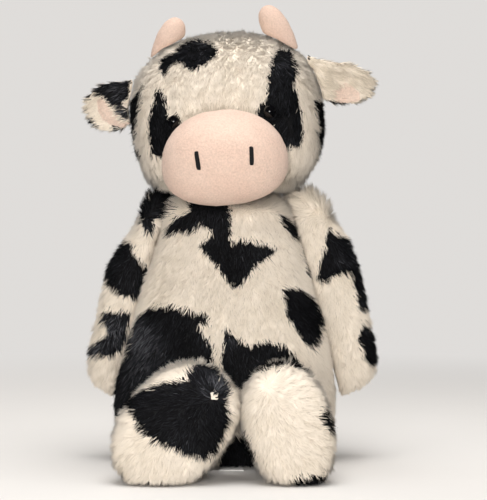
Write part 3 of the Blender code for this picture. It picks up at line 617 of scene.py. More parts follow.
def cloth_material(name, colour, grain, depth, variation, sheen=0.06, stretch=(1.0, 1.0, 1.0)):
    """A short napped or knitted cloth on Object coordinates, with its grain in colour and bump."""
    material, tree, shader = new_material(name)
    where = new_node(tree, "TexCoord")
    mapping = new_node(tree, "Mapping", {"Scale": stretch, "Vector": where.outputs["Object"]})
    place = mapping.outputs["Vector"]
    fine = new_node(tree, "TexNoise", {"Vector": place, "Scale": grain, "Detail": 3.0, "Roughness": 0.62})
    broad = new_node(tree, "TexNoise", {"Vector": place, "Scale": grain / 16.0, "Detail": 2.0})
    darker = [channel * (1.0 - variation) for channel in colour]
    lighter = [min(0.95, channel * (1.0 + 0.35 * variation)) for channel in colour]
    shade = ramp(tree, fine.outputs["Fac"], ((0.34, darker), (0.64, lighter)))
    wash = ramp(tree, broad.outputs["Fac"], ((0.36, (0.965, 0.935, 0.925)), (0.62, (1.0, 1.0, 1.0))))
    bump = new_node(tree, "Bump", {"Strength": 1.0, "Distance": depth, "Height": fine.outputs["Fac"]})
    feed(tree, shader, {
        "Base Color": multiplied(tree, shade, wash),
        "Normal": bump.outputs["Normal"],
        "Roughness": 0.82,
        "Specular IOR Level": 0.25,
        "Sheen Weight": sheen,
        "Sheen Roughness": 0.45,
    })
    return material


def bead_material(name, colour):
    """A moulded bead with faint swirls in its black."""
    material, tree, shader = new_material(name)
    where = new_node(tree, "TexCoord")
    swirl = new_node(tree, "TexNoise", {"Vector": where.outputs["Object"], "Scale": 260.0})
    dark, light = [[channel * share for channel in colour] for share in (0.7, 1.5)]
    feed(tree, shader, {
        "Base Color": ramp(tree, swirl.outputs["Fac"], ((0.0, dark), (1.0, light))),
        "Roughness": 0.03,
        "IOR": 1.4,
    })
    return material


def paper_material(name, colour):
    """The pale floor, which fades into an even backdrop away from the cow."""
    material, tree, shader = new_material(name)
    place = new_node(tree, "TexCoord").outputs["Object"]
    grain = new_node(tree, "TexNoise", {"Vector": place, "Scale": 14.0})
    dark = [channel * 0.985 for channel in colour]
    feed(tree, shader, {
        "Base Color": ramp(tree, grain.outputs["Fac"], ((0.0, dark), (1.0, colour))),
        "Roughness": 0.9,
        "Specular IOR Level": 0.1,
    })
    reach = new_node(tree, "VectorMath", {0: place}, operation="LENGTH")
    limits = {"From Min": 0.35, "From Max": 1.5, "Value": reach.outputs["Value"]}
    away = new_node(tree, "MapRange", limits, interpolation_type="SMOOTHSTEP")
    path = new_node(tree, "LightPath")
    both = {0: away.outputs["Result"], 1: path.outputs["Is Camera Ray"]}
    share = new_node(tree, "Math", both, operation="MULTIPLY")
    plain = new_node(tree, "Emission", {"Color": (*colour, 1.0)})
    parts = {"Fac": share.outputs["Value"], 1: shader.outputs["BSDF"], 2: plain.outputs["Emission"]}
    blend = new_node(tree, "MixShader", parts)
    feed(tree, tree.nodes["Material Output"], {"Surface": blend.outputs["Shader"]})
    return material


def toned(colour, share=1.0):
    """A colour made darker to a share."""
    return [channel * share for channel in colour]


def material_of(key):
    """The material of that finish, made once."""
    if key in made_materials:
        return made_materials[key]
    scene = bpy.context.scene
    pile, skin, trim = scene.cow_pile, scene.cow_skin, scene.cow_trim
    # Each pile: its colour, the share of it left at the root by the painted shade, its gloss and its sheen
    piles = {
        "cream_pile": (toned(pile.cream), 0.88, 0.16, 0.2),
        "black_pile": (toned(pile.black), 0.55, 0.05, 0.0),
    }
    cloths = {
        "cream_backing": (toned(pile.cream, 0.86), 900.0, 0.0004, 0.12),
        "black_backing": (toned(pile.black, 0.2), 900.0, 0.0003, 0.3, 0.0),
        "muzzle_velour": (toned(skin.muzzle), 620.0, 0.0007, 0.13),
        "horn_velour": (toned(skin.horn), 700.0, 0.0006, 0.12),
        "lining_velour": (toned(skin.lining), 700.0, 0.0006, 0.16),
        "black_thread": (toned(trim.thread), 2600.0, 0.0001, 0.3, 0.05, (1.0, 1.0, 0.2)),
        "cream_thread": (toned(trim.pale_thread), 2600.0, 0.0001, 0.15, 0.1),
        "ribbon": (toned(trim.ribbon), 1800.0, 0.00006, 0.08, 0.1, (1.0, 1.0, 4.0)),
        "washer": (toned(trim.washer), 500.0, 0.00003, 0.05, 0.0),
    }
    if key == "eye_bead":
        made = bead_material(key, toned(trim.eye))
    elif key in piles:
        made = pile_material(key, *piles[key], pile_tints[key])
    else:
        made = cloth_material(key, *cloths[key])
    made_materials[key] = made
    return made


# Pile

def lock_form():
    """One lock of pile: a closed three-sided spike."""
    shape = bmesh.new()
    bmesh.ops.create_cone(shape, cap_ends=True, cap_tris=False, segments=3, radius1=1.0, radius2=0.0,
                          depth=1.0, matrix=Matrix.Translation((0.0, 0.0, 0.5)))
    bmesh.ops.remove_doubles(shape, verts=shape.verts, dist=1e-5)
    bmesh.ops.recalc_face_normals(shape, faces=shape.faces)
    shape.verts.index_update()
    level = np.array([int(round(point.co.z)) for point in shape.verts])
    across = np.array([[point.co.x, point.co.y] for point in shape.verts])
    spoke = across / np.maximum(np.linalg.norm(across, axis=1, keepdims=True), 1e-9)
    spoke[level == 1] = 0.0
    faces = [[point.index for point in face.verts] for face in shape.faces]
    shape.free()
    return level, spoke, faces


def sample(mesh, density, rng):
    """Places spread evenly over a mesh, with their normals."""
    mesh.calc_loop_triangles()
    count = len(mesh.loop_triangles)
    corners = np.empty(count * 3, int)
    mesh.loop_triangles.foreach_get("vertices", corners)
    corners = corners.reshape(-1, 3)
    points, normals = coordinates(mesh), normals_of(mesh)
    a, b, c = points[corners[:, 0]], points[corners[:, 1]], points[corners[:, 2]]
    area = np.linalg.norm(np.cross(b - a, c - a), axis=1) / 2
    total = area.cumsum()
    number = int(total[-1] * square_centimetres * density)
    way = (np.arange(number) + rng.random(number)) / number * total[-1]
    face = np.minimum(np.searchsorted(total, way), count - 1)
    u, v = rng.random(number), rng.random(number)
    over = u + v > 1.0
    u[over], v[over] = 1.0 - u[over], 1.0 - v[over]
    weights = np.stack((1.0 - u - v, u, v), axis=1)[:, :, None]
    roots = (points[corners[face]] * weights).sum(axis=1)
    upright = unit((normals[corners[face]] * weights).sum(axis=1))
    return roots, upright


def room_above(roots, normals, trees, reach):
    """The free height over each root below the neighbours, and whether the root is inside one of them."""
    room = np.full(len(roots), reach)
    buried = np.zeros(len(roots), bool)
    for index in range(len(roots)):
        root, normal = Vector(roots[index]), Vector(normals[index])
        for tree in trees:
            place, face_normal, _, distance = tree.find_nearest(root, reach)
            if place is None:
                continue
            if (root - place).dot(face_normal) < 0.0:
                buried[index] = True
                break
            hit = tree.ray_cast(root, normal, reach)
            if hit[0] is not None:
                room[index] = min(room[index], hit[3])
            room[index] = min(room[index], distance * 1.6)
    return room, buried


def lifted(points, trees, clear):
    """Points that are inside a neighbour, brought out to just above its surface."""
    out = points.copy()
    for index in range(len(points)):
        point = Vector(out[index])
        for tree in trees:
            place, normal, _, _ = tree.find_nearest(point, neighbour_reach)
            if place is None:
                continue
            if (point - place).dot(normal) < clear:
                point = place + normal * clear
        out[index] = point
    return out


def painted_glint_of(part, points):
    """How far the black fades to grey at each point, as a painted glint."""
    places = pixels(points)
    fade = np.zeros(len(points))
    for middle, reach, share in glint_places.get(part, ()):
        gap = np.linalg.norm(places - np.array(middle), axis=1)
        fade = np.maximum(fade, share * np.exp(-((gap / reach) ** 2)))
    return fade


def painted_shade_of(part, points):
    """How far the cream is darkened at each point by the painted shade along the shade lines."""
    places = pixels(points)
    fade = np.zeros(len(points))
    for reach, share, line in shade_lines.get(part, ()):
        fade = np.maximum(fade, share * np.exp(-((line_distance(places, line) / reach) ** 2)))
    return fade


def at_roots(value, roots):
    """A value for each root, from a number or a function of the root."""
    return np.array([value(root) for root in roots]) if callable(value) else np.full(len(roots), value)


def gather(tip, heads, spacing, rng):
    """Draws the tips towards those of locks picked among them; heads are the locks' middles."""
    centres = rng.random(len(tip)) < 1.0 / max(1.0, spacing)
    centres[0] = True
    picked = np.flatnonzero(centres)
    index_tree = KDTree(len(picked))
    for order, index in enumerate(picked):
        index_tree.insert(Vector(heads[index]), order)
    index_tree.balance()
    near = np.array([index_tree.find(Vector(point))[1] for point in heads])
    goal = tip[picked][near]
    tip += (goal - tip) * (bpy.context.scene.cow_pile.gather * (0.5 + rng.random((len(tip), 1))))


def tints_of(part, roots, tuft, black, rng):
    """Where each lock's tint lies across the pile's UV map."""
    number = len(roots)
    drift = ripple(roots, 26.0, 17.0)[:, 0]
    hue = 0.58 + 0.30 * drift + 0.25 * tuft[:, 0] + rng.normal(0.0, 0.14, number)
    # painted shade: cream locks darken along the shade lines
    hue -= 0.5 * painted_shade_of(part, roots)
    dull = 0.30 + 0.25 * drift + rng.normal(0.0, 0.16, number)
    # painted glints: black locks turn grey where light catches their tips
    dull += painted_glint_of(part, roots) * rng.random(number) * 1.1
    hue = np.clip(np.where(black, dull, hue), 0.02, 0.98)
    return np.where(black, black_start + tint_span * hue, cream_start + tint_span * hue)


def grow_pile(part, skin, body, comb, length, trees=(), lift_trees=(), panels=None, rise=0.40, density=1.0,
              keep=None, bare=None, floor=True, seed=1, width=1.0):
    """Covers a skin with locks of pile in cream and black, one object for each panel."""
    pile = bpy.context.scene.cow_pile
    rng = np.random.default_rng(seed)
    closeness = pile.density * density * 1.0
    roots, normals = sample(skin.data, closeness, rng)
    if keep is not None:
        kept = keep(roots, normals)
        roots, normals = roots[kept], normals[kept]
    reach = at_roots(length, roots)
    room, buried = room_above(roots, normals, trees, neighbour_reach)
    places = pixels(roots)
    facing = facing_of(roots, normals)
    for share, line in seam_lines.get(part, ()):
        gap = line_distance(places, line)
        reach *= np.where(facing > 0.0, 1.0 - 0.35 * share * np.exp(-((gap / 3.0) ** 2)), 1.0)
    kept = ~buried
    roots, normals, reach, room, facing = roots[kept], normals[kept], reach[kept], room[kept], facing[kept]
    number = len(roots)
    reach *= 0.78 + 0.40 * rng.random(number)
    flow = comb(roots, normals)
    flow = unit(flow - normals * (flow * normals).sum(axis=1, keepdims=True))
    side = np.cross(normals, flow)
    sway = ripple(roots, 70.0, 5.0)
    tuft = ripple(roots, 150.0, 23.0)
    bend = rng.normal(0.0, 0.30, (number, 1)) + sway[:, :1] * 0.35 + tuft[:, 1:2] * 0.45
    flow = unit(flow + side * bend)
    side = unit(np.cross(normals, flow))
    stand = at_roots(rise, roots) * (1.0 + rng.normal(0.0, 0.12, number) + tuft[:, 2] * 0.20)
    stray = rng.random(number) < pile.strays
    stand = np.clip(np.where(stray, stand + 0.34, stand), 0.05, 0.97)
    height = np.minimum(1.0, np.maximum(room * 0.8, 0.0008) / (reach * stand))[:, None]
    lay = reach[:, None]
    base = roots - normals * root_depth
    jitter = rng.normal(0.0, 0.045, (number, 3))
    rising, lying = stand[:, None], np.sqrt(1.0 - stand**2)[:, None]
    tip = roots + lay * (normals * rising * height + flow * lying + jitter * height)
    gather(tip, roots + flow * lay * 0.4, closeness * (pile.clump * 100) ** 2, rng)
    if bare is not None:
        for share in (1.0, 0.6):
            covered = bare(roots + (tip - roots) * share)
            tip[covered] = roots[covered] + (tip[covered] - roots[covered]) * 0.45
    if lift_trees:
        tip = lifted(tip, lift_trees, lift_height)
    if floor:
        tip[:, 2] = np.maximum(tip[:, 2], 0.0006)
        base[:, 2] = np.maximum(base[:, 2], 0.0010)
    fray = rng.normal(0.0, pile.fray, (number, 3))
    aside = (tip - roots) * 0.6 + fray
    raised = (aside * normals).sum(axis=1)
    raised = (raised - raised.mean()) * (1.0 - np.clip(facing * 3.0, 0.0, 1.0))
    black = is_black(part, roots + aside - normals * raised[:, None], facing)
    wide = pile.strand_width * width * (0.8 + 0.5 * rng.random(number))
    wide = (wide * np.where(stray, 0.75, 1.0))[:, None, None]
    level, spoke, faces = lock_form()
    centre = np.stack((base, tip), axis=1)[:, level]
    up = unit(np.cross(unit(tip - base), side))
    girth = np.array((0.5, 0.0))[level][None, :, None]
    around = spoke[None, :, :1] * side[:, None, :] + spoke[None, :, 1:] * up[:, None, :] * lock_flatness
    corners = centre + around * wide * girth
    if floor:
        corners[:, :, 2] = np.maximum(corners[:, :, 2], 0.0003)
    lit = normals.copy()
    if part == "head":
        lit[:, 2] = np.maximum(lit[:, 2], -0.30)
    shading = unit(lit[:, None, :] * 0.75 + around * 0.55)
    across = tints_of(part, roots, tuft, black, rng)
    along = np.array((0.04, 0.96))[level]
    titles, names = (titled(part, "pile"),), np.zeros(number, int)
    if panels is not None:
        titles, names = panels[0], panels[1](roots[:, 0], roots[:, 1])
    for order, title in enumerate(titles):
        chosen = np.flatnonzero(names == order)
        if len(chosen):
            locks = pile_object(title, corners[chosen], shading[chosen], faces, across[chosen], along, spoke,
                                black[chosen])
            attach(locks, body)


def pile_object(name, corners, shading, faces, across, along, spoke, black):
    """One object of many locks."""
    number, each = corners.shape[:2]
    mesh = bpy.data.meshes.new(name)
    mesh.vertices.add(number * each)
    mesh.vertices.foreach_set("co", corners.ravel())
    pattern = np.concatenate([np.array(face) for face in faces])
    starts = np.cumsum([0] + [len(face) for face in faces[:-1]])
    loops = (pattern[None, :] + (np.arange(number) * each)[:, None]).ravel()
    begins = (starts[None, :] + (np.arange(number) * len(pattern))[:, None]).ravel()
    mesh.loops.add(len(loops))
    mesh.loops.foreach_set("vertex_index", loops)
    mesh.polygons.add(number * len(faces))
    mesh.polygons.foreach_set("loop_start", begins)
    mesh.polygons.foreach_set("material_index", np.repeat(black.astype(int), len(faces)))
    mesh.polygons.foreach_set("use_smooth", np.ones(number * len(faces), bool))
    mesh.update(calc_edges=True)
    spots = mesh.uv_layers.new(name=pile_map)
    u = (across[:, None] + spoke[None, :, 0] * 0.006)[:, pattern]
    v = np.broadcast_to(along[pattern], u.shape)
    spots.data.foreach_set("uv", np.stack((u, v), axis=2).ravel())
    mesh.normals_split_custom_set_from_vertices(shading.reshape(-1, 3).tolist())
    mesh.materials.append(material_of("cream_pile"))
    mesh.materials.append(material_of("black_pile"))
    return added(name, mesh)


# Skins

def paint_backing(part, skin):
    """Gives the skin's faces the colour of the pile that grows there."""
    mesh = skin.data
    mesh.materials.clear()
    mesh.materials.append(material_of("cream_backing"))
    mesh.materials.append(material_of("black_backing"))
    centres, normals = face_places(mesh)
    black = is_black(part, centres + np.array((0.0, 0.0, -0.003)), facing_of(centres, normals))
    mesh.polygons.foreach_set("material_index", black.astype(int))
    mesh.update()


def pinch_seams(part, skin):
    """Pulls the skin in along its panel seams and down the middle of its back."""
    points, normals = coordinates(skin.data), normals_of(skin.data)
    facing = facing_of(points, normals)
    places = pixels(points)
    pull = np.zeros(len(points))
    for share, line in seam_lines.get(part, ()):
        gap = line_distance(places, line)
        pull = np.maximum(pull, np.where(facing > 0.0, share * np.exp(-((gap / 5.0) ** 2)), 0.0))
    back = np.exp(-((points[:, 0] / 0.005) ** 2)) * np.clip(normals[:, 1] * 2.0, 0.0, 1.0)
    pull = np.maximum(pull, back)
    place_points(skin.data, points - normals * (pull * bpy.context.scene.cow_skin.seam_depth)[:, None])


def sag_ear(part, skin):
    """Lets the left ear's upper edge sag under its pile."""
    if part != "ear_left":
        return
    points = coordinates(skin.data)
    upper = np.clip((points[:, 2] - 0.328) / 0.026, 0.0, 1.0)
    outer = np.clip((points[:, 0] - 0.070) / 0.020, 0.0, 1.0)
    points[:, 2] -= 0.0036 * (upper * outer)
    place_points(skin.data, points)


def hollow_out(skin, outline, depth):
    """Presses a skin in where it shows inside an outline, most at its middle."""
    points, normals = coordinates(skin.data), normals_of(skin.data)
    places = pixels(points)
    within = inside(places, outline) & (facing_of(points, normals) > 0.0)
    from_edge = line_distance(places, outline + outline[:1])
    press = np.where(within, np.clip(from_edge / 4.0, 0.0, 1.0), 0.0)
    place_points(skin.data, points - normals * (press * depth)[:, None])


def cover(depth, trees):
    """How deep a skin lies under its pile: less where a neighbour presses on it."""
    least = 0.0006

    def below(point):
        gap = neighbour_reach
        for tree in trees:
            found = tree.find_nearest(Vector(point), neighbour_reach)
            if found[0] is not None:
                gap = min(gap, found[3])
        return least + (depth - least) * eased(gap, 0.001, 0.011)
    return below


def eased(value, start, end):
    """From 0 at start to 1 at end, with soft ends."""
    share = min(1.0, max(0.0, (value - start) / (end - start)))
    return share * share * (3.0 - 2.0 * share)


def neck_reach(point):
    """How far a point is from the neck's upright axis."""
    return math.hypot(point[0] - neck_axis[0], point[1] - neck_axis[1])


def downward(lean_forward):
    """A comb that runs down, and forward over the top."""
    def comb(roots, normals):
        return np.tile(np.array((0.0, -lean_forward, -1.0)), (len(roots), 1))
    return comb


def backing(part, nodes, cell, passes, depth, spreading=8, shaping=None):
    """A plush part's backing: a smooth skin below the solids' surface, in the colours of its pile."""
    skin = remeshed(titled(part, "backing"), nodes, cell, passes)
    set_depth(skin, tree_of(*nodes), depth, spreading)
    if shaping is not None:
        shaping(part, skin)
    paint_backing(part, skin)
    return skin


def finished(piece, key):
    """The piece with one more material."""
    piece.data.materials.append(material_of(key))
    return piece


def velour(name, nodes, cell, passes, depth, key):
    """A stuffed piece whose cloth shows, without pile."""
    piece = remeshed(name, nodes, cell, passes)
    set_depth(piece, tree_of(*nodes), depth)
    return finished(piece, key)


def dressed(piece, body, nodes):
    """Ties a piece to its body, and hides the solids that it stands for."""
    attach(piece, body)
    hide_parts(*nodes)


def outward_of(side):
    """Which way along X leads away from the cow on that side."""
    return 1.0 if side == "left" else -1.0


def bead_place(side):
    """The middle and the radius of an eye's bead."""
    low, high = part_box("eye_" + side)
    radius = (high.z - low.z) / 2
    return Vector(((low.x + high.x) / 2, low.y + radius, (low.z + high.z) / 2)), radius


class OBJECT_OT_cow_muzzle(bpy.types.Operator):
    """Make the muzzle of short velour"""
    bl_idname = "object.cow_muzzle"
    bl_label = "Muzzle"

    def execute(self, context):
        nodes = ("muzzle_skin", "muzzle_filling")
        muzzle = velour("muzzle_velour", nodes, 0.0026, 16, -0.0002, "muzzle_velour")
        dressed(muzzle, "head", nodes)
        return {"FINISHED"}


class OBJECT_OT_cow_head(bpy.types.Operator):
    """Make the head's skin and its pile"""
    bl_idname = "object.cow_head"
    bl_label = "Head"

    def execute(self, context):
        pile = context.scene.cow_pile
        cloth = context.scene.cow_skin
        nodes = ("head_skin", "head_filling")
        beads = [bead_place(side) for side in sides]
        eye_zone = 0.030
        open_share = 0.58

        def under(point):
            return eased(neck_reach(point), 0.076, 0.056) * eased(point[2], 0.275, 0.258)

        def below(point):
            crown = 0.0012 * eased(point[2], 0.350, 0.378)
            return cloth.pile_depth * (1.0 - under(point)) - 0.001 * under(point) + crown

        def beside_eye(point):
            nearest, radius = 1.0, 0.006
            for centre, reach in beads:
                gap = math.hypot(point[0] - centre.x, point[2] - centre.z)
                if gap < nearest and abs(point[1] - centre.y) < eye_zone:
                    nearest, radius = gap, reach
            return nearest, radius, 1.0 - eased(nearest, radius * 1.5, radius * 2.1)

        def length(point):
            full = pile.length + (pile.neck_length - pile.length) * under(point)
            return full + (pile.lash_length - full) * beside_eye(point)[2]

        def rise(point):
            crown = eased(point[2], 0.352, 0.378)
            cheek = eased(abs(point[0]), 0.070, 0.092) * eased(point[2], 0.262, 0.282) * (1.0 - crown)
            rising = 0.44 + 0.41 * under(point) + 0.26 * cheek - 0.14 * crown
            gap, radius, near = beside_eye(point)
            lying = min(0.8, max(0.0, gap - radius * open_share) / pile.lash_length)
            return rising + (math.sqrt(1.0 - lying**2) - rising) * near

        def comb(roots, normals):
            flow = downward(0.85)(roots, normals)
            for centre, radius in beads:
                away = np.array(centre) - roots
                far = np.abs(away[:, 1:2]) > eye_zone
                away[:, 1] = 0.0
                gap = np.linalg.norm(away, axis=1, keepdims=True)
                near = np.where(far, 0.0, np.clip(3.2 - gap / radius * 1.5, 0.0, 1.0))
                flow = flow * (1.0 - near) + away / np.maximum(gap, 1e-6) * near
            return flow

        def panel(x, y):
            back = y >= -0.020
            return np.select([back & (x >= 0.0), back, x >= 0.045, x <= -0.045], [3, 4, 1, 2], 0)

        skin = backing("head", nodes, cloth.cell, 14, below, shaping=pinch_seams)
        dressed(skin, "head", nodes)
        horns = ["horn_" + side for side in sides]
        eyes = [tree_of("eye_" + side) for side in sides]
        sewn_on = [shell_of(part) for part in ["muzzle"] + horns] + eyes

        def keep(roots, normals):
            kept = np.ones(len(roots), bool)
            for index, root in enumerate(roots):
                for tree in sewn_on:
                    place, face_normal, _, _ = tree.find_nearest(Vector(root), 0.004)
                    if place is not None and (Vector(root) - place).dot(face_normal) < 0.0:
                        kept[index] = False
            return kept

        lifts = [tree_of(node) for node in ("muzzle_skin", "horn_skin_left", "horn_skin_right")] + eyes
        rooms = [shell_of(part) for part in ("body", "ear_left", "ear_right")]
        titles = ("forehead_pile", "cheek_pile_left", "cheek_pile_right", "head_back_pile_left",
                  "head_back_pile_right")
        grow_pile("head", skin, "head", comb, length, rooms, lifts, (titles, panel), rise, keep=keep,
                  floor=False, seed=11)
        return {"FINISHED"}


class OBJECT_OT_cow_body(bpy.types.Operator):
    """Make the body's skin and its pile"""
    bl_idname = "object.cow_body"
    bl_label = "Body"

    def execute(self, context):
        pile = context.scene.cow_pile
        cloth = context.scene.cow_skin
        nodes = ("body_skin", "body_filling", "pellet_bag")
        pressed = cover(cloth.pile_depth, [shell_of("arm_" + side) for side in sides])

        def shoulder(point):
            return eased(point[2], 0.200, 0.224) * eased(neck_reach(point), 0.080, 0.056)

        def hip_dip(point):
            side_share = eased(point[0], 0.070, 0.092)
            return 0.0060 * side_share * eased(point[2], 0.018, 0.040) * (1.0 - eased(point[2], 0.062, 0.105))

        def below(point):
            return pressed(point) * (1.0 - shoulder(point)) - 0.001 * shoulder(point) + hip_dip(point)

        def length(point):
            return pile.length + (pile.neck_length - pile.length) * shoulder(point)

        def rise(point):
            return 0.46 + 0.34 * shoulder(point)

        def panel(x, y):
            return (y >= 0.0) * 2 + (x < 0.0)

        skin = backing("body", nodes, cloth.cell, 14, below, shaping=pinch_seams)
        dressed(skin, "torso", nodes)
        neighbours = ["head", "muzzle"]
        for side in sides:
            neighbours += ["arm_" + side, "leg_" + side]
        rooms = [shell_of(part) for part in neighbours]
        titles = ("body_front_pile_left", "body_front_pile_right", "body_back_pile_left",
                  "body_back_pile_right")
        grow_pile("body", skin, "torso", downward(0.0), length, rooms, (), (titles, panel), rise, seed=21)
        return {"FINISHED"}


def make_arm(scene, side, seed):
    """One arm's skin and its pile."""
    part = "arm_" + side
    pile = scene.cow_pile
    outward = outward_of(side)
    nodes = ("arm_skin_" + side, "arm_filling_" + side)
    pressed = cover(scene.cow_skin.pile_depth, [shell_of("body")])

    def below(point):
        outer = eased(point[2], 0.180, 0.215) * eased(point[0] * outward, 0.066, 0.082)
        return pressed(point) + 0.0025 * outer

    def length(point):
        trimmed = 1.06 - 0.30 * (1.0 - eased(point[2], 0.062, 0.088))
        return pile.length * trimmed + (pile.neck_length - pile.length) * eased(point[2], 0.214, 0.234)

    def rise(point):
        return 0.47 + 0.22 * eased(point[2], 0.205, 0.232)

    def comb(roots, normals):
        top = np.clip((roots[:, 2:] - 0.204) / 0.020, 0.0, 1.0)
        under = np.clip(-normals[:, 2:] * 1.5 - 0.3, 0.0, 1.0)
        hanging = np.array((0.28 * outward, 0.0, -1.0)) + under * np.array((0.0, 1.1, 0.0))
        return hanging * (1.0 - top) + top * np.array((-outward, -0.35, 0.10))

    skin = backing(part, nodes, scene.cow_skin.limb_cell, 12, below)
    dressed(skin, part, nodes)
    rooms = [shell_of(neighbour) for neighbour in ("head", "muzzle", "body", "leg_" + side)]
    grow_pile(part, skin, part, comb, length, rooms, rise=rise, seed=seed)


class OBJECT_OT_cow_arms(bpy.types.Operator):
    """Make both arms' skins and their pile"""
    bl_idname = "object.cow_arms"
    bl_label = "Arms"

    def execute(self, context):
        for order, side in enumerate(sides):
            make_arm(context.scene, side, 31 + order)
        return {"FINISHED"}


def make_leg(scene, side, other, swirl, seed):
    """One leg's skin with its sole, and its pile, which turns round a swirl on the foot's front."""
    part = "leg_" + side
    nodes = ("leg_skin_" + side, "leg_filling_" + side, "foot_pellets_" + side, "sole_" + side)
    near = [shell_of("body"), shell_of("leg_" + other)]

    def comb(roots, normals):
        flow = np.tile(np.array((0.0, -0.75, -0.65)), (len(roots), 1))
        away = pixels(roots) - np.array(swirl)
        still = np.zeros(len(roots))
        sweep = np.stack((away[:, 0], still, -away[:, 1]), axis=1)
        turn = np.stack((away[:, 1], still, away[:, 0]), axis=1)
        wander = ripple(roots, 190.0, 31.0)[:, :1] * 0.9
        radial = unit(sweep * np.cos(wander) + turn * np.sin(wander + 0.3))
        front = np.clip(-normals[:, 1] * 2.2 - 0.6, 0.0, 1.0)[:, None]
        return flow * (1.0 - front) + radial * front

    skin = backing(part, nodes, scene.cow_skin.limb_cell, 12, cover(scene.cow_skin.pile_depth, near))
    dressed(skin, part, nodes)
    rooms = near + [shell_of("arm_" + side)]
    grow_pile(part, skin, part, comb, scene.cow_pile.length, rooms, rise=0.44, seed=seed)


class OBJECT_OT_cow_legs(bpy.types.Operator):
    """Make both legs with their soles, and their pile"""
    bl_idname = "object.cow_legs"
    bl_label = "Legs"

    def execute(self, context):
        make_leg(context.scene, "left", "right", (268.0, 384.0), 41)
        make_leg(context.scene, "right", "left", (213.0, 398.0), 42)
        return {"FINISHED"}


def make_ear(scene, side, seed):
    """One ear with its hollow lining, and its pile."""
    part = "ear_" + side
    outline = lining_outlines[part]
    nodes = ("ear_back_" + side, "ear_lining_" + side)
    skin = finished(backing(part, nodes, 0.0010, 10, 0.0009, 3, sag_ear), "lining_velour")
    mesh = skin.data
    centres, normals = face_places(mesh)
    lined = inside(pixels(centres), outline) & (facing_of(centres, normals) > 0.0)
    for index in np.flatnonzero(lined):
        mesh.polygons[int(index)].material_index = 2
    hollow_out(skin, outline, 0.0016)
    dressed(skin, part, nodes)
    middle = coordinates(mesh)[:, 1].mean()

    def keep(roots, normals):
        return ~(inside(pixels(roots), outline) & (facing_of(roots, normals) > 0.0))

    def over_lining(points):
        return inside(pixels(points), outline) & (points[:, 1] < middle)

    def comb(roots, normals):
        return np.tile(np.array((outward_of(side), 0.0, -0.35)), (len(roots), 1))

    grow_pile(part, skin, part, comb, scene.cow_pile.ear_length, [shell_of("head")], keep=keep,
              bare=over_lining, floor=False, seed=seed)


class OBJECT_OT_cow_ears(bpy.types.Operator):
    """Make both ears with their lining and pile"""
    bl_idname = "object.cow_ears"
    bl_label = "Ears"

    def execute(self, context):
        for order, side in enumerate(sides):
            make_ear(context.scene, side, 51 + order)
        return {"FINISHED"}


class OBJECT_OT_cow_horns(bpy.types.Operator):
    """Make both horns of short velour"""
    bl_idname = "object.cow_horns"
    bl_label = "Horns"

    def execute(self, context):
        for side in sides:
            nodes = ("horn_skin_" + side, "horn_filling_" + side)
            horn = velour("horn_velour_" + side, nodes, 0.0016, 14, -0.0001, "horn_velour")
            dressed(horn, "head", nodes)
        return {"FINISHED"}


class OBJECT_OT_cow_eyes(bpy.types.Operator):
    """Make both bead eyes with their stems and washers"""
    bl_idname = "object.cow_eyes"
    bl_label = "Eyes"

    def execute(self, context):
        turn = Matrix.Rotation(math.radians(90), 4, "X")
        for side in sides:
            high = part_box("eye_" + side)[1]
            centre, radius = bead_place(side)
            shape = bmesh.new()
            bmesh.ops.create_uvsphere(shape, u_segments=32, v_segments=20, radius=radius,
                                      matrix=Matrix.Translation(centre))
            stem = high.y - centre.y
            place = Matrix.Translation(centre + Vector((0, stem / 2, 0)))
            bmesh.ops.create_cone(shape, cap_ends=True, segments=16, radius1=radius * 0.34,
                                  radius2=radius * 0.34, depth=stem, matrix=place @ turn)
            bead = finished(settled("bead_eye_" + side, shape), "eye_bead")
            dressed(bead, "head", ("eye_" + side,))
            low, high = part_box("eye_washer_" + side)
            radius = (high.z - low.z) / 2
            place = Matrix.Translation((centre.x, high.y + context.scene.cow_skin.pile_depth, centre.z))
            shape = bmesh.new()
            bmesh.ops.create_cone(shape, cap_ends=True, segments=28, radius1=radius, radius2=radius * 0.94,
                                  depth=0.0016, matrix=place @ turn)
            washer = finished(settled("washer_" + side, shape, False), "washer")
            dressed(washer, "head", ("eye_washer_" + side,))
        return {"FINISHED"}


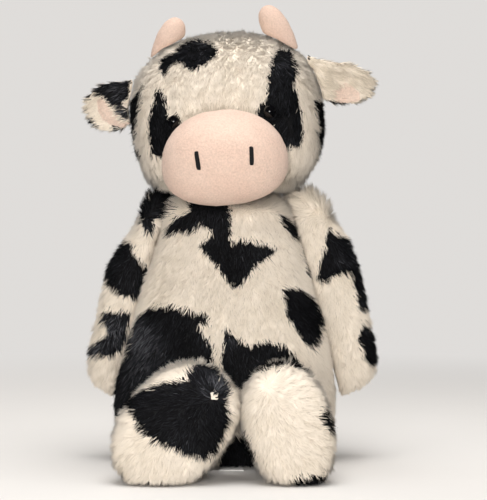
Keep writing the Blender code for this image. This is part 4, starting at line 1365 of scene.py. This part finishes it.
class OBJECT_OT_cow_nostrils(bpy.types.Operator):
    """Make both nostril stitches from threads side by side"""
    bl_idname = "object.cow_nostrils"
    bl_label = "Nostril stitches"

    def execute(self, context):
        trim = context.scene.cow_trim
        muzzle = tree_of("muzzle_skin")
        rows, around, end_zone = 14, 8, 0.003
        for side in sides:
            node = "nostril_stitch_" + side
            low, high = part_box(node)
            points = coordinates(solids[node].data)
            upper = points[points[:, 2] > high.z - end_zone].mean(axis=0)
            lower = points[points[:, 2] < low.z + end_zone].mean(axis=0)
            lean = (upper[0] - lower[0]) / max(1e-6, upper[2] - lower[2])
            middle = Vector(((upper[0] + lower[0]) / 2, 0.0, (upper[2] + lower[2]) / 2))
            half = (high.z - low.z) / 2 - trim.thread_radius
            shape = bmesh.new()
            for strand in range(trim.strands):
                place = (strand - (trim.strands - 1) / 2) * trim.thread_radius * 1.35
                crown = 1.0 - (2.0 * place / (trim.strands * trim.thread_radius * 1.6)) ** 2
                rings = []
                for row in range(rows + 1):
                    along = -1.0 + 2.0 * row / rows
                    z = middle.z + along * half * (0.94 + 0.06 * crown)
                    x = middle.x + lean * (z - middle.z) + place * (1.0 - 0.25 * along**6)
                    hit = muzzle.ray_cast(Vector((x, -0.5, z)), Vector((0, 1, 0)))
                    lift = trim.thread_radius * (0.75 + 0.5 * crown) * (1.0 - along**8 * 1.4)
                    centre = Matrix.Translation(hit[0] + hit[1] * lift)
                    ring = bmesh.ops.create_circle(shape, cap_ends=False, segments=around,
                                                   radius=trim.thread_radius, matrix=centre)
                    rings.append(ring["verts"])
                edges = [list({edge for point in ring for edge in point.link_edges}) for ring in rings]
                for first, second in zip(edges, edges[1:]):
                    bmesh.ops.bridge_loops(shape, edges=first + second)
                for ring in (rings[0], rings[-1]):
                    bmesh.ops.contextual_create(shape, geom=ring)
            bmesh.ops.recalc_face_normals(shape, faces=shape.faces)
            stitch = finished(settled("stitch_threads_" + side, shape), "black_thread")
            dressed(stitch, "head", (node,))
        return {"FINISHED"}


class OBJECT_OT_cow_tail(bpy.types.Operator):
    """Make the tail with its tuft, and their pile"""
    bl_idname = "object.cow_tail"
    bl_label = "Tail"

    def execute(self, context):
        nodes = ("tail_cord", "tail_tuft")
        skin = backing("tail", nodes, 0.0012, 10, 0.0010, 3)
        dressed(skin, "tail", nodes)
        grow_pile("tail", skin, "tail", downward(-0.1), context.scene.cow_pile.tail_length,
                  [shell_of("body")], rise=0.20, seed=61)
        return {"FINISHED"}


class OBJECT_OT_cow_neck(bpy.types.Operator):
    """Make the stuffed neck and dress its seam"""
    bl_idname = "object.cow_neck"
    bl_label = "Neck"

    def execute(self, context):
        neck = velour("neck_stuffing", ("neck_plug",), 0.0020, 6, 0.0002, "cream_backing")
        dressed(neck, "neck", ("neck_plug",))

        def keep(roots, normals):
            return np.abs(roots[:, 2] - neck_height + 0.003) < 0.010

        grow_pile("neck", neck, "neck", downward(0.0), context.scene.cow_pile.collar_length, keep=keep,
                  rise=0.96, density=0.55, width=2.2, floor=False, seed=71)
        return {"FINISHED"}


class OBJECT_OT_cow_trim(bpy.types.Operator):
    """Dress the neck's thread and the bare tag"""
    bl_idname = "object.cow_trim"
    bl_label = "Thread and tag"

    def execute(self, context):
        for node, key in (("neck_seam", "cream_thread"), ("blank_tag", "ribbon")):
            solids[node].data.materials.clear()
            finished(solids[node], key)
        return {"FINISHED"}


# Stage

def lamp(name, place, size, power, colour, mirrored):
    """A soft square lamp that looks at the cow, and shows in glossy pieces only where mirrored."""
    data = bpy.data.lights.new(name, "AREA")
    data.energy = power
    data.size = size
    data.color = colour
    made = added(name, data)
    made.location = place
    made.rotation_euler = (Vector((0.0, 0.0, 0.2)) - Vector(place)).to_track_quat("-Z", "Y").to_euler()
    made.visible_glossy = mirrored


def light_world(scene):
    """Even light from all round, and the floor's colour where the camera looks past it."""
    world = scene.world or bpy.data.worlds.new("even_light")
    scene.world = world
    world.use_nodes = True
    world.cycles_visibility.glossy = False
    tree = world.node_tree
    tree.nodes.clear()
    camera_ray = new_node(tree, "LightPath").outputs["Is Camera Ray"]
    even = new_node(tree, "Background", {"Color": (1.0, 0.985, 0.96, 1.0), "Strength": scene.cow_stage.sky})
    seen = new_node(tree, "Background", {"Color": (*scene.cow_stage.floor, 1.0), "Strength": 1.0})
    parts = {"Fac": camera_ray, 1: even.outputs["Background"], 2: seen.outputs["Background"]}
    mix = new_node(tree, "MixShader", parts)
    new_node(tree, "OutputWorld", {"Surface": mix.outputs["Shader"]})


def photo_camera():
    """The photograph's camera."""
    data = bpy.data.cameras.new("photo_camera")
    data.sensor_fit = "AUTO"
    data.sensor_width = sensor_width * 1000
    data.lens = sensor_width * 1000 * focal_pixels / photo_height
    data.clip_start = 0.01
    data.clip_end = 20.0
    camera = added("photo_camera", data)
    camera.location = camera_place
    camera.rotation_euler = (math.radians(90.0) + camera_pitch, 0.0, 0.0)
    return camera


class OBJECT_OT_cow_stage(bpy.types.Operator):
    """Make the floor, the backdrop, the lamps and the camera"""
    bl_idname = "object.cow_stage"
    bl_label = "Stage"

    def execute(self, context):
        scene = context.scene
        stage = scene.cow_stage
        shape = bmesh.new()
        bmesh.ops.create_grid(shape, x_segments=1, y_segments=1, size=3.0)
        floor = settled("floor", shape, False)
        floor.data.materials.append(paper_material("paper", stage.floor))
        floor.visible_glossy = False
        light_world(scene)
        warm, pale = (1.0, 0.98, 0.95), (1.0, 0.985, 0.965)
        lamp("key_lamp", (-0.14, -1.5, 0.30), 0.42, stage.key_power, warm, True)
        lamp("fill_lamp", (1.3, -0.5, 0.7), 1.0, stage.fill_power, pale, False)
        lamp("back_lamp", (-0.8, 1.3, 0.9), 1.2, stage.back_power, pale, False)
        lamp("top_lamp", (0.0, -0.25, 1.5), 1.0, stage.top_power, pale, False)
        scene.view_settings.view_transform = "Standard"
        scene.camera = photo_camera()
        return {"FINISHED"}


class VIEW3D_PT_cow(bpy.types.Panel):
    """Lists the cow's pieces"""
    bl_label = "Plush cow"
    bl_space_type = "VIEW_3D"
    bl_region_type = "UI"
    bl_category = "Plush cow"

    def draw(self, context):
        for operator in operators:
            self.layout.operator(operator.bl_idname)


groups = (("cow_pile", CowPile), ("cow_skin", CowSkin), ("cow_trim", CowTrim), ("cow_stage", CowStage))
operators = (
    OBJECT_OT_cow_stage, OBJECT_OT_cow_muzzle, OBJECT_OT_cow_head, OBJECT_OT_cow_body, OBJECT_OT_cow_arms,
    OBJECT_OT_cow_legs, OBJECT_OT_cow_ears, OBJECT_OT_cow_horns, OBJECT_OT_cow_eyes, OBJECT_OT_cow_nostrils,
    OBJECT_OT_cow_tail, OBJECT_OT_cow_neck, OBJECT_OT_cow_trim,
)


def register():
    for name, group in groups:
        bpy.utils.register_class(group)
        setattr(bpy.types.Scene, name, bpy.props.PointerProperty(type=group))
    for operator in operators:
        bpy.utils.register_class(operator)
    bpy.utils.register_class(VIEW3D_PT_cow)


def unregister():
    bpy.utils.unregister_class(VIEW3D_PT_cow)
    for operator in reversed(operators):
        bpy.utils.unregister_class(operator)
    for name, group in reversed(groups):
        delattr(bpy.types.Scene, name)
        bpy.utils.unregister_class(group)


def main():
    register()
    bpy.ops.object.cow_stage()
    bpy.ops.object.cow_muzzle()
    bpy.ops.object.cow_head()
    bpy.ops.object.cow_body()
    bpy.ops.object.cow_arms()
    bpy.ops.object.cow_legs()
    bpy.ops.object.cow_ears()
    bpy.ops.object.cow_horns()
    bpy.ops.object.cow_eyes()
    bpy.ops.object.cow_nostrils()
    bpy.ops.object.cow_tail()
    bpy.ops.object.cow_neck()
    bpy.ops.object.cow_trim()


if __name__ == "__main__":
    main()
